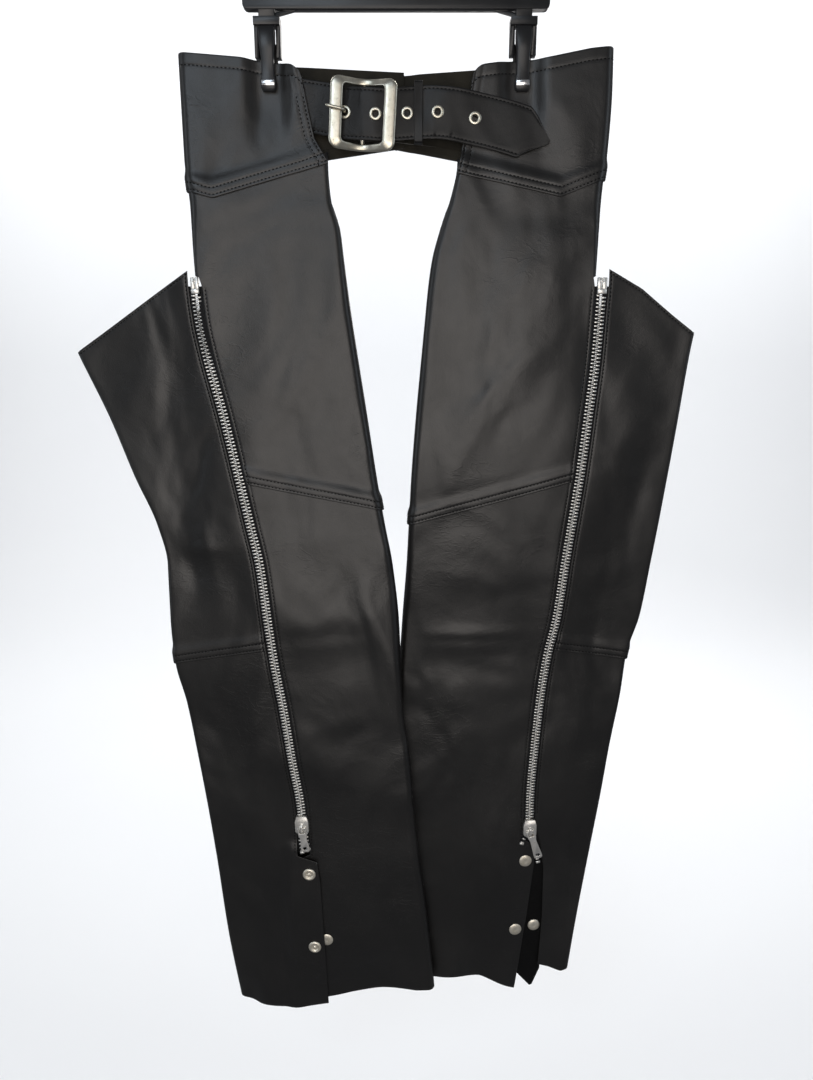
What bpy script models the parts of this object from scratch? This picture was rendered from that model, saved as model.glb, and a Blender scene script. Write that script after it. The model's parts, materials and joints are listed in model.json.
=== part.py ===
"""Leather riding chaps held flat by a clip hanger.

Each leg is a flattened tube of leather panels. Its cross-section at a height is worked out from a
short table: where the outer fold, the zip and the inner fold are, and how far the layers stand
apart. Every panel is a grid of points on that tube, thickened by Solidify, and what lies on a panel
is made from the same points moved outwards.

X runs to the right of the photograph, Y away from the viewer, Z up. The origin is the point inside
the top of the hanger's hook, where a rail would touch it. Names go by the wearer's side, so the
right leg is at -X. Tables are in millimetres and become metres where they are read.
"""
import math

import bpy
import bmesh
from mathutils import Matrix, Vector

MM = 0.001

# Driving dimensions, in metres
LEATHER = 1.6 * MM
SEAM_GAP = 0.35 * MM
LAP = LEATHER + SEAM_GAP
TUCK = 9 * MM
LAP_FLAT = 11 * MM
LAP_RAMP = 21 * MM
WRAP_WIDTH = 66 * MM
BELT_WIDTH = 44 * MM
BELT_THICKNESS = 3.0 * MM
BUCKLE_STRAP_THICKNESS = 2.0 * MM
BUCKLE_SIZE = 60 * MM
BUCKLE_SIDE_BAR = 11.5 * MM
BUCKLE_TOP_BAR = 6 * MM
EYELET_DIAMETER = 11.5 * MM
EYELET_HOLE = 5.6 * MM
ZIP_CHANNEL = 13 * MM
CHAIN_WIDTH = 9 * MM
CHAIN_THICKNESS = 2.6 * MM
TAPE_WIDTH = 30 * MM
TAPE_THICKNESS = 1.0 * MM
TAPE_GAP = 0.5 * MM
SNAP_DIAMETER = 14.4 * MM
HOOK_RADIUS = 20 * MM
HOOK_WIRE = 4 * MM
BAR_HEIGHT = 12 * MM
BAR_DEPTH = 9 * MM
BAR_CENTRE_Z = -72 * MM
FOLD_STEPS = 5
INSEAM_RUN = 5.5 * MM

SECTION_COLUMNS = ("z", "outer", "zip", "inner")
RIGHT_SECTIONS = (
    (-110, -197, -191, -62),
    (-205, -198, -191, -62),
    (-235, -205, -191, -60),
    (-262, -250, -191, -53),
    (-288, -300, -191, -50),
    (-312, -326, -190.5, -47.2),
    (-345, -322, -188, -43),
    (-375, -310.5, -183, -38.6),
    (-434, -286, -170, -29.8),
    (-496, -264, -157.5, -20.7),
    (-545, -244, -147.5, -12.5),
    (-585, -235.5, -139.5, -5),
    (-645, -235.5, -133, 1.5),
    (-692, -233, -127.5, 3.5),
    (-735, -224, -121, 5),
    (-800, -215.5, -113, 12.5),
    (-860, -208.5, -105, 17.5),
    (-920, -202.5, -103.5, 23.5),
    (-1020, -194, -99, 35),
    (-1112, -182, -95, 43.5),
)
LEFT_SECTIONS = (
    (-110, 196, 194, 56),
    (-205, 195.5, 194, 55),
    (-235, 203, 194, 49),
    (-262, 235, 194, 40.5),
    (-288, 270, 194, 33.5),
    (-312, 291, 194, 30),
    (-345, 289, 193, 26.8),
    (-375, 285, 192, 24),
    (-434, 279, 187.5, 18.6),
    (-496, 273, 182.5, 14),
    (-545, 268.5, 177.5, 11.5),
    (-585, 264.5, 173.5, 9.5),
    (-645, 258, 168, 5),
    (-692, 246.5, 159.5, 2),
    (-735, 243, 154.5, -1),
    (-800, 234.5, 150, -5.5),
    (-860, 228, 147.5, -10),
    (-920, 220.5, 148.5, -14),
    (-1020, 208.5, 152, -21),
    (-1112, 199, 155, -27),
)
HIP_COLUMNS = ("z", "hip")
RIGHT_HIP = ((-110, -196), (-200, -196), (-229, -193.8), (-240, -193), (-285, -191.5), (-312, -190))
LEFT_HIP = ((-106, 195), (-150, 196), (-195, 194.5), (-220, 192), (-235, 191), (-287, 189), (-312, 188))
DEPTH_COLUMNS = ("z", "at_outer", "at_inner", "bulge")
DEPTHS = (
    (-110, 8.5, 6.0, 0.3),
    (-235, 8.5, 6.5, 1.0),
    (-312, 5.5, 8.0, 3.5),
    (-375, 4.5, 8.0, 4.5),
    (-700, 4.5, 8.0, 4.0),
    (-900, 4.5, 8.0, 4.0),
    (-1112, 5.5, 8.0, 5.0),
)
HIP_FOLD_COLUMNS = ("z", "radius")
HIP_FOLD = ((-110, 8.5), (-235, 8.5), (-262, 6.0), (-305, 3.0))

# The lower legs hang one behind the other, by this much from the middle plane
LEG_SHIFT = 13 * MM
LEG_SHIFT_FROM_Z = -430 * MM
LEG_SHIFT_TO_Z = -700 * MM

# Where the inner edge curls from nearly flat, at the crotch, to a full fold
CURL_TOP_Z = -236 * MM
CURL_FULL_Z = -284 * MM
CURL_LEAST = 0.25

CLIP_X = {"right": -115 * MM, "left": 113.5 * MM}
CLIP_FOOT = {"right": -116.5 * MM, "left": -114.5 * MM}
PINCH_DEPTH = 2.1 * MM
PINCH_FLAT = 8.5 * MM
PINCH_FADE = 15 * MM
PINCH_Z = -146 * MM
PINCH_FADE_Z = 55 * MM

# Soft folds: place, half length along the fold, half width across it, angle from X, height
FOLD_COLUMNS = ("x", "z", "long", "wide", "angle", "height")
RIGHT_FRONT_FOLDS = (
    (-205, -562, 62, 16, 3, 2.2),
    (-205, -592, 60, 17, -3, -2.0),
    (-110, -360, 90, 26, 78, 1.6),
    (-70, -640, 70, 20, 25, 1.8),
    (-60, -690, 80, 22, 12, -1.6),
    (-140, -1108, 75, 34, 90, 8.0),
    (-22, -1100, 85, 36, 90, -6.0),
    (28, -1110, 60, 18, 90, 2.5),
)
RIGHT_BACK_FOLDS = (
    (-150, -430, 80, 26, 60, 2.5),
    (-120, -600, 90, 22, 4, 2.2),
    (-130, -635, 90, 20, -5, -2.0),
    (-120, -850, 120, 30, 86, 2.5),
    (-60, -1100, 80, 34, 90, 5.0),
)
LEFT_FRONT_FOLDS = (
    (75, -671, 72, 15, 0, 2.0),
    (80, -702, 76, 17, -3, -1.8),
    (120, -350, 90, 26, 100, 1.6),
    (225, -470, 80, 20, 72, 1.6),
    (215, -600, 60, 16, 12, 1.8),
    (58, -1100, 80, 26, 90, 3.5),
    (92, -1100, 70, 22, 90, -3.5),
    (128, -1100, 75, 24, 90, 5.5),
    (182, -1090, 60, 22, 90, -2.0),
)
LEFT_BACK_FOLDS = (
    (150, -430, 80, 26, 120, 2.5),
    (130, -610, 90, 22, -4, 2.2),
    (120, -645, 90, 20, 5, -2.0),
    (115, -850, 120, 30, 94, 2.5),
    (70, -1100, 80, 34, 90, 5.0),
)

# Panel edges, as places (x, z) in millimetres along each edge
RIGHT_EDGES = {
    "yoke top": ((-196, -113), (-140, -117), (-98, -121.5), (-88, -123)),
    "yoke bottom": ((-194, -229), (-170, -235), (-63, -205)),
    "yoke top back": ((-196, -113), (-100, -121), (7, -126)),
    "yoke bottom back": ((-194, -229), (-130, -219), (-64, -200), (7, -190)),
    "knee": ((-160, -500), (-15, -529)),
    "knee back": ((-30, -529), (0, -529)),
    "back top": ((-310, -374), (-196, -298)),
    "back top back": ((-310, -374), (-48, -284)),
    "calf": ((-236, -691), (-120, -672)),
    "calf back": ((-236, -691), (4, -694)),
    "front hem": ((-111, -1100), (-84, -1098), (-54, -1093), (-20, -1091), (20, -1092), (44, -1092)),
    "back hem": ((-182, -1102), (-160, -1107), (-112, -1107), (-80, -1103)),
    "back hem back": ((-182, -1102), (-100, -1104), (44, -1100)),
    "front hem back": ((0, -1096), (44, -1092)),
}
LEFT_EDGES = {
    "yoke top": ((70, -123), (106, -119), (136, -117), (174, -110), (195, -108)),
    "yoke bottom": ((55, -213), (152, -234), (191, -219)),
    "yoke top back": ((-5, -129), (72, -124), (136, -116), (195, -108)),
    "yoke bottom back": ((-5, -190), (56, -201), (130, -214), (191, -219)),
    "knee": ((13, -546), (184, -498)),
    "knee back": ((0, -546), (40, -546)),
    "back top": ((200, -297), (233, -315), (264, -339), (286, -355)),
    "back top back": ((33, -284), (286, -355)),
    "calf": ((160, -683), (248, -696)),
    "calf back": ((0, -698), (248, -696)),
    "front hem": ((-27, -1096), (44, -1092), (96, -1093), (136, -1107)),
    "back hem": ((164, -1081), (192, -1091), (198, -1089)),
    "back hem back": ((-27, -1098), (100, -1094), (198, -1089)),
    "front hem back": ((-27, -1096), (10, -1095)),
}

# Front edges of the yokes: height and place
RIGHT_YOKE_FRONT = ((-123, -87), (-150, -81.5), (-183, -75), (-203, -63))
LEFT_YOKE_FRONT = ((-123, 70), (-199, 59), (-213, 55))

# The free edges of the vents, below the zips: height and place
VENT_STEP_TOP = -913 * MM
VENT_STEP_BOTTOM = -920 * MM
FLAP_LIFT = 1.7 * MM
RIGHT_FLAP_EDGE = ((-920, -89), (-948, -86), (-1024, -83), (-1112, -80))
RIGHT_FRONT_EDGE = ((-920, -111), (-1021, -92.5), (-1112, -84))
LEFT_FRONT_EDGE = ((-920, 157), (-948, 155), (-1011, 149), (-1052, 144), (-1112, 136))
LEFT_BACK_EDGE = ((-880, 154), (-913, 160), (-949, 166), (-1016, 167), (-1112, 163.5))

COLOURS = {
    "leather": (0.012, 0.012, 0.013, 0.42, 0.0),
    "nickel": (0.62, 0.58, 0.48, 0.25, 1.0),
    "zip metal": (0.55, 0.55, 0.54, 0.32, 1.0),
    "tape": (0.015, 0.015, 0.017, 0.85, 0.0),
    "hanger plastic": (0.02, 0.02, 0.022, 0.38, 0.0),
    "hook steel": (0.60, 0.60, 0.61, 0.22, 1.0),
}


def smoothstep(value):
    value = min(max(value, 0.0), 1.0)
    return value * value * (3.0 - 2.0 * value)


def mix(a, b, share):
    return a + (b - a) * share


def curve_through(pairs):
    """A smooth function through (position, value) pairs given in millimetres; it ends flat."""
    pairs = sorted((p * MM, v * MM) for p, v in pairs)
    places = [p for p, _ in pairs]
    values = [v for _, v in pairs]
    steps = [(values[i + 1] - values[i]) / (places[i + 1] - places[i]) for i in range(len(pairs) - 1)]
    slopes = [0.0] * len(pairs)
    for i in range(1, len(pairs) - 1):
        if steps[i - 1] * steps[i] > 0:
            slopes[i] = 2 * steps[i - 1] * steps[i] / (steps[i - 1] + steps[i])
    slopes[0] = steps[0]
    slopes[-1] = steps[-1]

    def value_at(place):
        if place <= places[0]:
            return values[0]
        if place >= places[-1]:
            return values[-1]
        i = max(k for k in range(len(places) - 1) if places[k] <= place)
        span = places[i + 1] - places[i]
        t = (place - places[i]) / span
        a = (2 * t ** 3 - 3 * t ** 2 + 1) * values[i]
        b = (t ** 3 - 2 * t ** 2 + t) * span * slopes[i]
        c = (3 * t ** 2 - 2 * t ** 3) * values[i + 1]
        d = (t ** 3 - t ** 2) * span * slopes[i + 1]
        return a + b + c + d

    return value_at


def straight_through(pairs):
    """A function that runs in straight lines through (position, value) pairs in millimetres."""
    pairs = sorted((p * MM, v * MM) for p, v in pairs)

    def value_at(place):
        if place <= pairs[0][0]:
            return pairs[0][1]
        for (p0, v0), (p1, v1) in zip(pairs, pairs[1:]):
            if place <= p1:
                return mix(v0, v1, (place - p0) / (p1 - p0))
        return pairs[-1][1]

    return value_at


def column(rows, names, name):
    return curve_through([(row[0], row[names.index(name)]) for row in rows])


class Leg:
    """One flattened leg: its section at each height, and points on its layers and folds."""

    def __init__(self, name, side, sections, hip, edges, front_folds, back_folds):
        self.name = name
        self.side = side
        self.outer = column(sections, SECTION_COLUMNS, "outer")
        self.zip = column(sections, SECTION_COLUMNS, "zip")
        self.inner = column(sections, SECTION_COLUMNS, "inner")
        self.hip = column(hip, HIP_COLUMNS, "hip")
        self.at_outer = column(DEPTHS, DEPTH_COLUMNS, "at_outer")
        self.at_inner = column(DEPTHS, DEPTH_COLUMNS, "at_inner")
        self.bulge = column(DEPTHS, DEPTH_COLUMNS, "bulge")
        self.hip_radius = column(HIP_FOLD, HIP_FOLD_COLUMNS, "radius")
        self.edge = {key: straight_through(places) for key, places in edges.items()}
        self.folds = {-1: front_folds, 1: back_folds}

    def middle(self, z):
        """The middle plane's Y: the right leg hangs in front low down, the left leg behind."""
        share = (LEG_SHIFT_FROM_Z - z) / (LEG_SHIFT_FROM_Z - LEG_SHIFT_TO_Z)
        return self.side * LEG_SHIFT * smoothstep(share)

    def fold_height(self, layer, x, z):
        """How far the soft folds of the front (-1) or back (+1) layer stand out here."""
        total = 0.0
        for fx, fz, long, wide, angle, height in self.folds[layer]:
            turn = math.radians(angle)
            dx = x / MM - fx
            dz = z / MM - fz
            along = (dx * math.cos(turn) + dz * math.sin(turn)) / long
            across = (-dx * math.sin(turn) + dz * math.cos(turn)) / wide
            if abs(along) < 1 and abs(across) < 2.5:
                total += height * MM * math.cos(along * math.pi / 2) ** 2 * math.exp(-across * across)
        return total

    def layer_y(self, layer, x, z):
        """Y of the outer face of the front (-1) or back (+1) layer, without any offset."""
        outer = self.outer(z)
        inner = self.inner(z)
        a = outer - self.side * self.at_outer(z)
        b = inner + self.side * self.at_inner(z)
        share = min(max((x - a) / (b - a), 0.0), 1.0)
        depth = mix(self.at_outer(z), self.at_inner(z), smoothstep(share))
        depth += self.bulge(z) * math.sin(math.pi * share) ** 2
        near_fold = min(abs(x - outer), abs(x - inner))
        depth += self.fold_height(layer, x, z) * smoothstep((near_fold - 8 * MM) / (22 * MM))
        clip = CLIP_X[self.name]
        pinch = 1.0 - smoothstep((abs(x - clip) - PINCH_FLAT) / PINCH_FADE)
        pinch *= 1.0 - smoothstep((PINCH_Z - z) / PINCH_FADE_Z)
        depth = mix(depth, PINCH_DEPTH, pinch)
        return self.middle(z) + layer * depth

    def layer_point(self, layer, x, z, out=0.0):
        """A point on a layer, moved outwards along the layer's own normal."""
        step = 1.0 * MM
        y = self.layer_y(layer, x, z)
        slope_x = (self.layer_y(layer, x + step, z) - self.layer_y(layer, x - step, z)) / (2 * step)
        slope_z = (self.layer_y(layer, x, z + step) - self.layer_y(layer, x, z - step)) / (2 * step)
        normal = Vector((-slope_x, 1.0, -slope_z)).normalized() * layer
        return Vector((x, y, z)) + normal * out

    def fold_circle(self, which, z):
        """Centre and radius of a fold: the edge's X, then tangent to both layers."""
        inward = -self.side
        if which == "inner":
            edge = self.inner(z)
            inward = self.side
            radius = self.at_inner(z)
        elif which == "outer":
            edge = self.outer(z)
            radius = self.at_outer(z)
        else:
            edge = self.hip(z)
            radius = self.hip_radius(z)
        centre_x = edge + inward * radius
        front_y = self.layer_y(-1, centre_x, z)
        return centre_x, front_y + radius, radius, inward

    def fold_point(self, which, angle, z, out=0.0):
        """A point on a fold: 0 degrees is where it leaves the front layer, 180 the back one.

        Past 180 degrees the place runs on along the back layer."""
        centre_x, centre_y, radius, inward = self.fold_circle(which, z)
        if angle > 180.0:
            return self.layer_point(1, centre_x + inward * radius * math.radians(angle - 180.0), z, out)
        turn = math.radians(angle)
        reach = radius + out
        return Vector((centre_x - inward * reach * math.sin(turn), centre_y - reach * math.cos(turn), z))

    def hip_back_point(self, x, z, out=0.0):
        """A point on the part of the thigh panel that is wrapped behind the hip."""
        behind = 2 * self.hip_radius(z)
        high = smoothstep((z + 262 * MM) / (27 * MM))
        y = mix(self.layer_y(-1, x, z) + behind, self.layer_y(1, x, z), high)
        return Vector((x, y + out, z))

    def curl(self, z):
        """Share of the inner fold that the front panel makes at this height."""
        return mix(CURL_LEAST, 1.0, smoothstep((CURL_TOP_Z - z) / (CURL_TOP_Z - CURL_FULL_Z)))

    def tangent_x(self, which, z):
        return self.fold_circle(which, z)[0]

    def inseam_angle(self, z):
        """How far round the inner fold the front panel reaches: a little past it, onto the back."""
        return (180.0 + math.degrees(INSEAM_RUN / self.at_inner(z))) * self.curl(z)

    def surface_frame(self, x, z, out=0.0, turn=0.0):
        """Matrix on the front layer: X across, Y up the leg, Z towards the viewer."""
        origin = self.layer_point(-1, x, z, out)
        normal = (self.layer_point(-1, x, z, out + 1.0) - origin).normalized()
        up = Vector((math.sin(turn), 0.0, math.cos(turn)))
        up = (up - normal * up.dot(normal)).normalized()
        across = up.cross(normal).normalized()
        frame = Matrix((across, up, normal)).transposed().to_4x4()
        frame.translation = origin
        return frame


RIGHT = Leg("right", -1, RIGHT_SECTIONS, RIGHT_HIP, RIGHT_EDGES, RIGHT_FRONT_FOLDS, RIGHT_BACK_FOLDS)
LEFT = Leg("left", 1, LEFT_SECTIONS, LEFT_HIP, LEFT_EDGES, LEFT_FRONT_FOLDS, LEFT_BACK_FOLDS)


class Station:
    """One column of a panel: where it lies on the leg at each height."""

    def __init__(self, leg, kind, place):
        self.leg = leg
        self.kind = kind
        self.place = place

    def x(self, z):
        if self.kind in ("front", "back", "hip back"):
            return self.place(z)
        centre_x, _, radius, inward = self.leg.fold_circle(self.kind, z)
        angle = self.place(z)
        if angle > 180.0:
            return centre_x + inward * radius * math.radians(angle - 180.0)
        return centre_x - inward * radius * math.sin(math.radians(angle))

    def point(self, z, out):
        if self.kind == "front":
            return self.leg.layer_point(-1, self.place(z), z, out)
        if self.kind == "back":
            return self.leg.layer_point(1, self.place(z), z, out)
        if self.kind == "hip back":
            return self.leg.hip_back_point(self.place(z), z, out)
        return self.leg.fold_point(self.kind, self.place(z), z, out)


def run_of(leg, kind, start, end, count, skip_first=False):
    """Stations evenly spaced from one place to another, both functions of height."""
    first = 1 if skip_first else 0
    stations = []
    for i in range(first, count + 1):
        share = i / count
        stations.append(Station(leg, kind, lambda z, s=share: mix(start(z), end(z), s)))
    return stations


def fold_run(leg, which, full):
    """Stations round a fold after its front tangent; full gives the last one's angle."""
    stations = []
    for i in range(1, FOLD_STEPS + 1):
        share = i / FOLD_STEPS
        stations.append(Station(leg, which, lambda z, s=share: min(180.0, full(z)) * s))
    return stations


def edge_height(leg, station, front_key, back_key):
    """The height at which a panel edge crosses a column."""
    front_edge = leg.edge[front_key]
    back_edge = leg.edge[back_key]
    z = front_edge(station.x(-500 * MM))
    for _ in range(4):
        x = station.x(z)
        if station.kind == "front":
            z = front_edge(x)
        elif station.kind in ("back", "hip back"):
            z = back_edge(x)
        else:
            z = mix(front_edge(x), back_edge(x), min(station.place(z) / 180.0, 1.0))
    return z


def spread(top, bottom, head=(), through=(), tail=(), counts=(10,)):
    """Heights down a column: set distances at its ends, set heights between, even steps between."""
    stops = [top - d for d in head] + [z for z in through] + [bottom + d for d in tail]
    levels = [top] + stops[:len(head)]
    anchors = [levels[-1]] + list(through) + [bottom + tail[0] if tail else bottom]
    for (a, b), count in zip(zip(anchors, anchors[1:]), counts):
        levels += [mix(a, b, (i + 1) / count) for i in range(count)]
    if tail:
        levels += [bottom + d for d in tail[1:]] + [bottom]
    return levels


def make_collection(name):
    collection = bpy.data.collections.new(name)
    bpy.context.scene.collection.children.link(collection)
    return collection


def give_material(obj, finish):
    """Each object gets its own material in one of the named finishes."""
    red, green, blue, roughness, metallic = COLOURS[finish]
    material = bpy.data.materials.new(obj.name)
    material.use_nodes = True
    shader = material.node_tree.nodes["Principled BSDF"]
    shader.inputs["Base Color"].default_value = (red, green, blue, 1.0)
    shader.inputs["Roughness"].default_value = roughness
    shader.inputs["Metallic"].default_value = metallic
    obj.data.materials.append(material)


def add_mesh(name, bm, material, smooth_angle=35.0):
    bmesh.ops.recalc_face_normals(bm, faces=bm.faces)
    mesh = bpy.data.meshes.new(name)
    bm.to_mesh(mesh)
    bm.free()
    mesh.shade_smooth()
    mesh.set_sharp_from_angle(angle=math.radians(smooth_angle))
    obj = bpy.data.objects.new(name, mesh)
    PARTS.objects.link(obj)
    give_material(obj, material)
    return obj


def grid_faces(bm, grid, skip=()):
    """Faces between neighbouring rows of points; a skipped cell is left open."""
    verts = [[bm.verts.new(point) for point in row] for row in grid]
    for i in range(len(verts) - 1):
        for j in range(len(verts[i]) - 1):
            if (i, j) not in skip:
                bm.faces.new((verts[i][j], verts[i][j + 1], verts[i + 1][j + 1], verts[i + 1][j]))
    return verts


def sheet_object(name, grids, thickness, material, outward, skip=()):
    """Open grids, joined where they share points, thickened inwards from the outer face."""
    bm = bmesh.new()
    for grid in grids:
        grid_faces(bm, grid, skip)
    bmesh.ops.remove_doubles(bm, verts=bm.verts, dist=0.01 * MM)
    bmesh.ops.recalc_face_normals(bm, faces=bm.faces)
    bm.faces.ensure_lookup_table()
    probe = max(bm.faces, key=lambda face: face.calc_area())
    if probe.normal.dot(outward(probe.calc_center_median())) < 0:
        bmesh.ops.reverse_faces(bm, faces=bm.faces)
    mesh = bpy.data.meshes.new(name)
    bm.to_mesh(mesh)
    bm.free()
    mesh.shade_smooth()
    obj = bpy.data.objects.new(name, mesh)
    PARTS.objects.link(obj)
    give_material(obj, material)
    shell = obj.modifiers.new("thickness", "SOLIDIFY")
    shell.thickness = thickness
    shell.offset = -1.0
    shell.use_even_offset = True
    shell.use_quality_normals = True
    return obj


def leg_outward(leg):
    """Which way is out of a leg at a point: away from its middle plane."""
    return lambda point: Vector((0, point.y - leg.middle(point.z), 0))


def panel(name, leg, stations, levels, out, extra=None):
    """A leather panel over the stations, with the heights of each column given by levels."""
    columns = []
    for station in stations:
        heights = levels(station)
        columns.append([station.point(z, out(station, z)) for z in heights])
    grid = [[col[i] for col in columns] for i in range(len(columns[0]))]
    grids = [grid] + (extra or [])
    return sheet_object(name, grids, LEATHER, "leather", leg_outward(leg))


def lap(distance):
    """Offset of a lapped edge: full near the edge, then down to the panel below it."""
    return LAP * (1.0 - smoothstep((distance - LAP_FLAT) / (LAP_RAMP - LAP_FLAT)))


def zip_side(leg, outwards, extra=0.0):
    """Place of a panel's zip edge, or a line beside it, on the inner or outer side of the zip."""
    sign = leg.side if outwards else -leg.side
    return lambda z: leg.zip(z) + sign * (ZIP_CHANNEL / 2 + extra)


def yoke(leg, front_edge, centre_back, centre_out):
    """Hip yoke: front edge, side fold, back to the centre seam. It laps over the thigh panel."""
    corner = 10 * MM
    clip = CLIP_X[leg.name]
    pinch = PINCH_FLAT + PINCH_FADE
    rim = lambda z: front_edge(z) + leg.side * corner
    tangent = lambda z: leg.tangent_x("hip", z)
    across = [clip + leg.side * d for d in (-PINCH_FLAT, 0.0, PINCH_FLAT, pinch)]
    across.append((across[-1] + tangent(-150 * MM)) / 2)
    stations = run_of(leg, "front", front_edge, rim, 3)
    stations.append(Station(leg, "front", lambda z: (rim(z) + across[0]) / 2))
    stations += [Station(leg, "front", lambda z, x=x: x) for x in across]
    stations.append(Station(leg, "front", tangent))
    stations += fold_run(leg, "hip", lambda z: 180.0)
    stations += [Station(leg, "back", lambda z, x=x: x) for x in reversed(across)]
    inner_rim = clip - leg.side * pinch
    stations += run_of(leg, "back", lambda z: inner_rim, lambda z: centre_back, 5)

    def levels(station):
        top = edge_height(leg, station, "yoke top", "yoke top back")
        bottom = edge_height(leg, station, "yoke bottom", "yoke bottom back")
        if station.kind == "front":
            inset = corner - min(abs(station.x(top) - front_edge(top)), corner)
            top -= corner - math.sqrt(max(corner ** 2 - inset ** 2, 0.0))
        return spread(top, bottom, head=(14 * MM,), tail=(LAP_RAMP, LAP_FLAT), counts=(4,))

    def out(station, z):
        bottom = edge_height(leg, station, "yoke bottom", "yoke bottom back")
        offset = lap(z - bottom)
        if station.kind == "back":
            behind = abs(station.x(z) - leg.hip(z))
            offset *= 1.0 - smoothstep((behind - WRAP_WIDTH - 12 * MM) / (25 * MM))
            offset = max(offset, centre_out(station.x(z)))
        return offset

    return panel(leg.name + "_yoke", leg, stations, levels, out)


def thigh_front(leg):
    """Thigh panel: tucked under the yoke, wrapped behind at the hip, folded round to the inseam."""
    hip_end = -305 * MM

    def outer_edge(z):
        return mix(leg.tangent_x("hip", z), zip_side(leg, False)(z), smoothstep((-300 * MM - z) / (16 * MM)))

    stations = run_of(leg, "front", outer_edge, lambda z: leg.tangent_x("inner", z), 8)
    stations += fold_run(leg, "inner", leg.inseam_angle)
    stations.append(Station(leg, "inner", leg.inseam_angle))

    def yoke_line(station):
        return edge_height(leg, station, "yoke bottom", "yoke bottom back")

    def levels(station):
        top = yoke_line(station) + TUCK
        bottom = edge_height(leg, station, "knee", "knee back")
        return spread(top, bottom, head=(TUCK,), through=(-260 * MM, -284 * MM, hip_end, -322 * MM),
                      tail=(LAP_RAMP, LAP_FLAT), counts=(2, 1, 1, 1, 6))

    def out(station, z):
        return lap(z - edge_height(leg, station, "knee", "knee back"))

    hip_levels = levels(stations[0])[:6]
    wrapped = [stations[0]] + fold_run(leg, "hip", lambda z: 180.0)
    far = lambda z: leg.tangent_x("hip", z) - leg.side * WRAP_WIDTH
    wrapped += run_of(leg, "hip back", lambda z: leg.tangent_x("hip", z), far, 4, True)
    columns = []
    for k, station in enumerate(wrapped):
        top = yoke_line(station) + TUCK
        reach = max(0, k - FOLD_STEPS) / 4
        bottom = mix(hip_end + 0.7 * MM * min(k, FOLD_STEPS), top - 14 * MM, reach)
        share = [(hip_levels[0] - z) / (hip_levels[0] - hip_levels[-1]) for z in hip_levels]
        columns.append([station.point(mix(top, bottom, s), 0.0) for s in share])
    columns[0] = [stations[0].point(z, 0.0) for z in hip_levels]
    wrap = [[col[i] for col in columns] for i in range(len(hip_levels))]
    return panel(leg.name + "_thigh_front", leg, stations, levels, out, [wrap])


def shin_front(leg, vent_edge):
    """Shin panel: tucked under the thigh panel at the knee, with its vent edge beside the zip."""
    side = zip_side(leg, False)

    def outer_edge(z):
        share = (VENT_STEP_TOP - z) / (VENT_STEP_TOP - VENT_STEP_BOTTOM)
        return mix(side(z), vent_edge(z), min(max(share, 0.0), 1.0))

    stations = run_of(leg, "front", outer_edge, lambda z: leg.tangent_x("inner", z), 8)
    stations += fold_run(leg, "inner", leg.inseam_angle)
    stations.append(Station(leg, "inner", leg.inseam_angle))

    def levels(station):
        top = edge_height(leg, station, "knee", "knee back") + TUCK
        bottom = edge_height(leg, station, "front hem", "front hem back")
        return spread(top, bottom, head=(TUCK,), through=(VENT_STEP_TOP, VENT_STEP_BOTTOM), counts=(9, 1, 5))

    return panel(leg.name + "_shin_front", leg, stations, levels, lambda station, z: 0.0)


def back_stations(leg, edge):
    """Columns of the outer and back panels: zip edge, outer fold, back layer, inseam."""
    tangent = lambda z: leg.tangent_x("outer", z)
    stations = run_of(leg, "front", edge, tangent, 4)
    stations += fold_run(leg, "outer", lambda z: 180.0)
    seam = lambda z: leg.tangent_x("inner", z) + leg.side * (INSEAM_RUN + SEAM_GAP + 0.1 * MM)
    stations += run_of(leg, "back", tangent, seam, 8, True)
    return stations


def thigh_back(leg):
    """Outer and back thigh panel, from the zip round the outer fold to the inseam."""
    stations = back_stations(leg, zip_side(leg, True))

    def levels(station):
        top = edge_height(leg, station, "back top", "back top back")
        bottom = edge_height(leg, station, "calf", "calf back")
        return spread(top, bottom, head=(9 * MM,), tail=(LAP_RAMP, LAP_FLAT), counts=(10,))

    def out(station, z):
        return lap(z - edge_height(leg, station, "calf", "calf back"))

    return panel(leg.name + "_thigh_back", leg, stations, levels, out)


def calf_back(leg, edge, flap_out):
    """Outer and back calf panel, tucked under the thigh panel, with its free vent edge."""
    stations = back_stations(leg, edge)

    def levels(station):
        top = edge_height(leg, station, "calf", "calf back") + TUCK
        bottom = edge_height(leg, station, "back hem", "back hem back")
        return spread(top, bottom, head=(TUCK,), through=(VENT_STEP_TOP, VENT_STEP_BOTTOM), counts=(7, 1, 5))

    def out(station, z):
        return flap_out(station.x(z), z) if station.kind == "front" else 0.0

    return panel(leg.name + "_calf_back", leg, stations, levels, out)


def right_flap_edge(z):
    """Front edge of the right calf panel: beside the zip, then stepping out into a flap."""
    flap = straight_through(RIGHT_FLAP_EDGE)(z)
    share = (VENT_STEP_TOP - z) / (VENT_STEP_TOP - VENT_STEP_BOTTOM)
    return mix(zip_side(RIGHT, True)(z), flap, min(max(share, 0.0), 1.0))


def right_flap_out(x, z):
    """The right flap lies on the shin panel, a little proud of it at its free edge."""
    low = smoothstep((VENT_STEP_TOP + 20 * MM - z) / (14 * MM))
    return low * (LAP + FLAP_LIFT) * smoothstep((x + 132 * MM) / (16 * MM))


def left_back_edge(z):
    """Front edge of the left calf panel: it leaves the zip and stands open below it."""
    beside = zip_side(LEFT, True)(z)
    open_edge = straight_through(LEFT_BACK_EDGE)(z)
    return mix(beside, open_edge, smoothstep((-880 * MM - z) / (40 * MM)))


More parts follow.
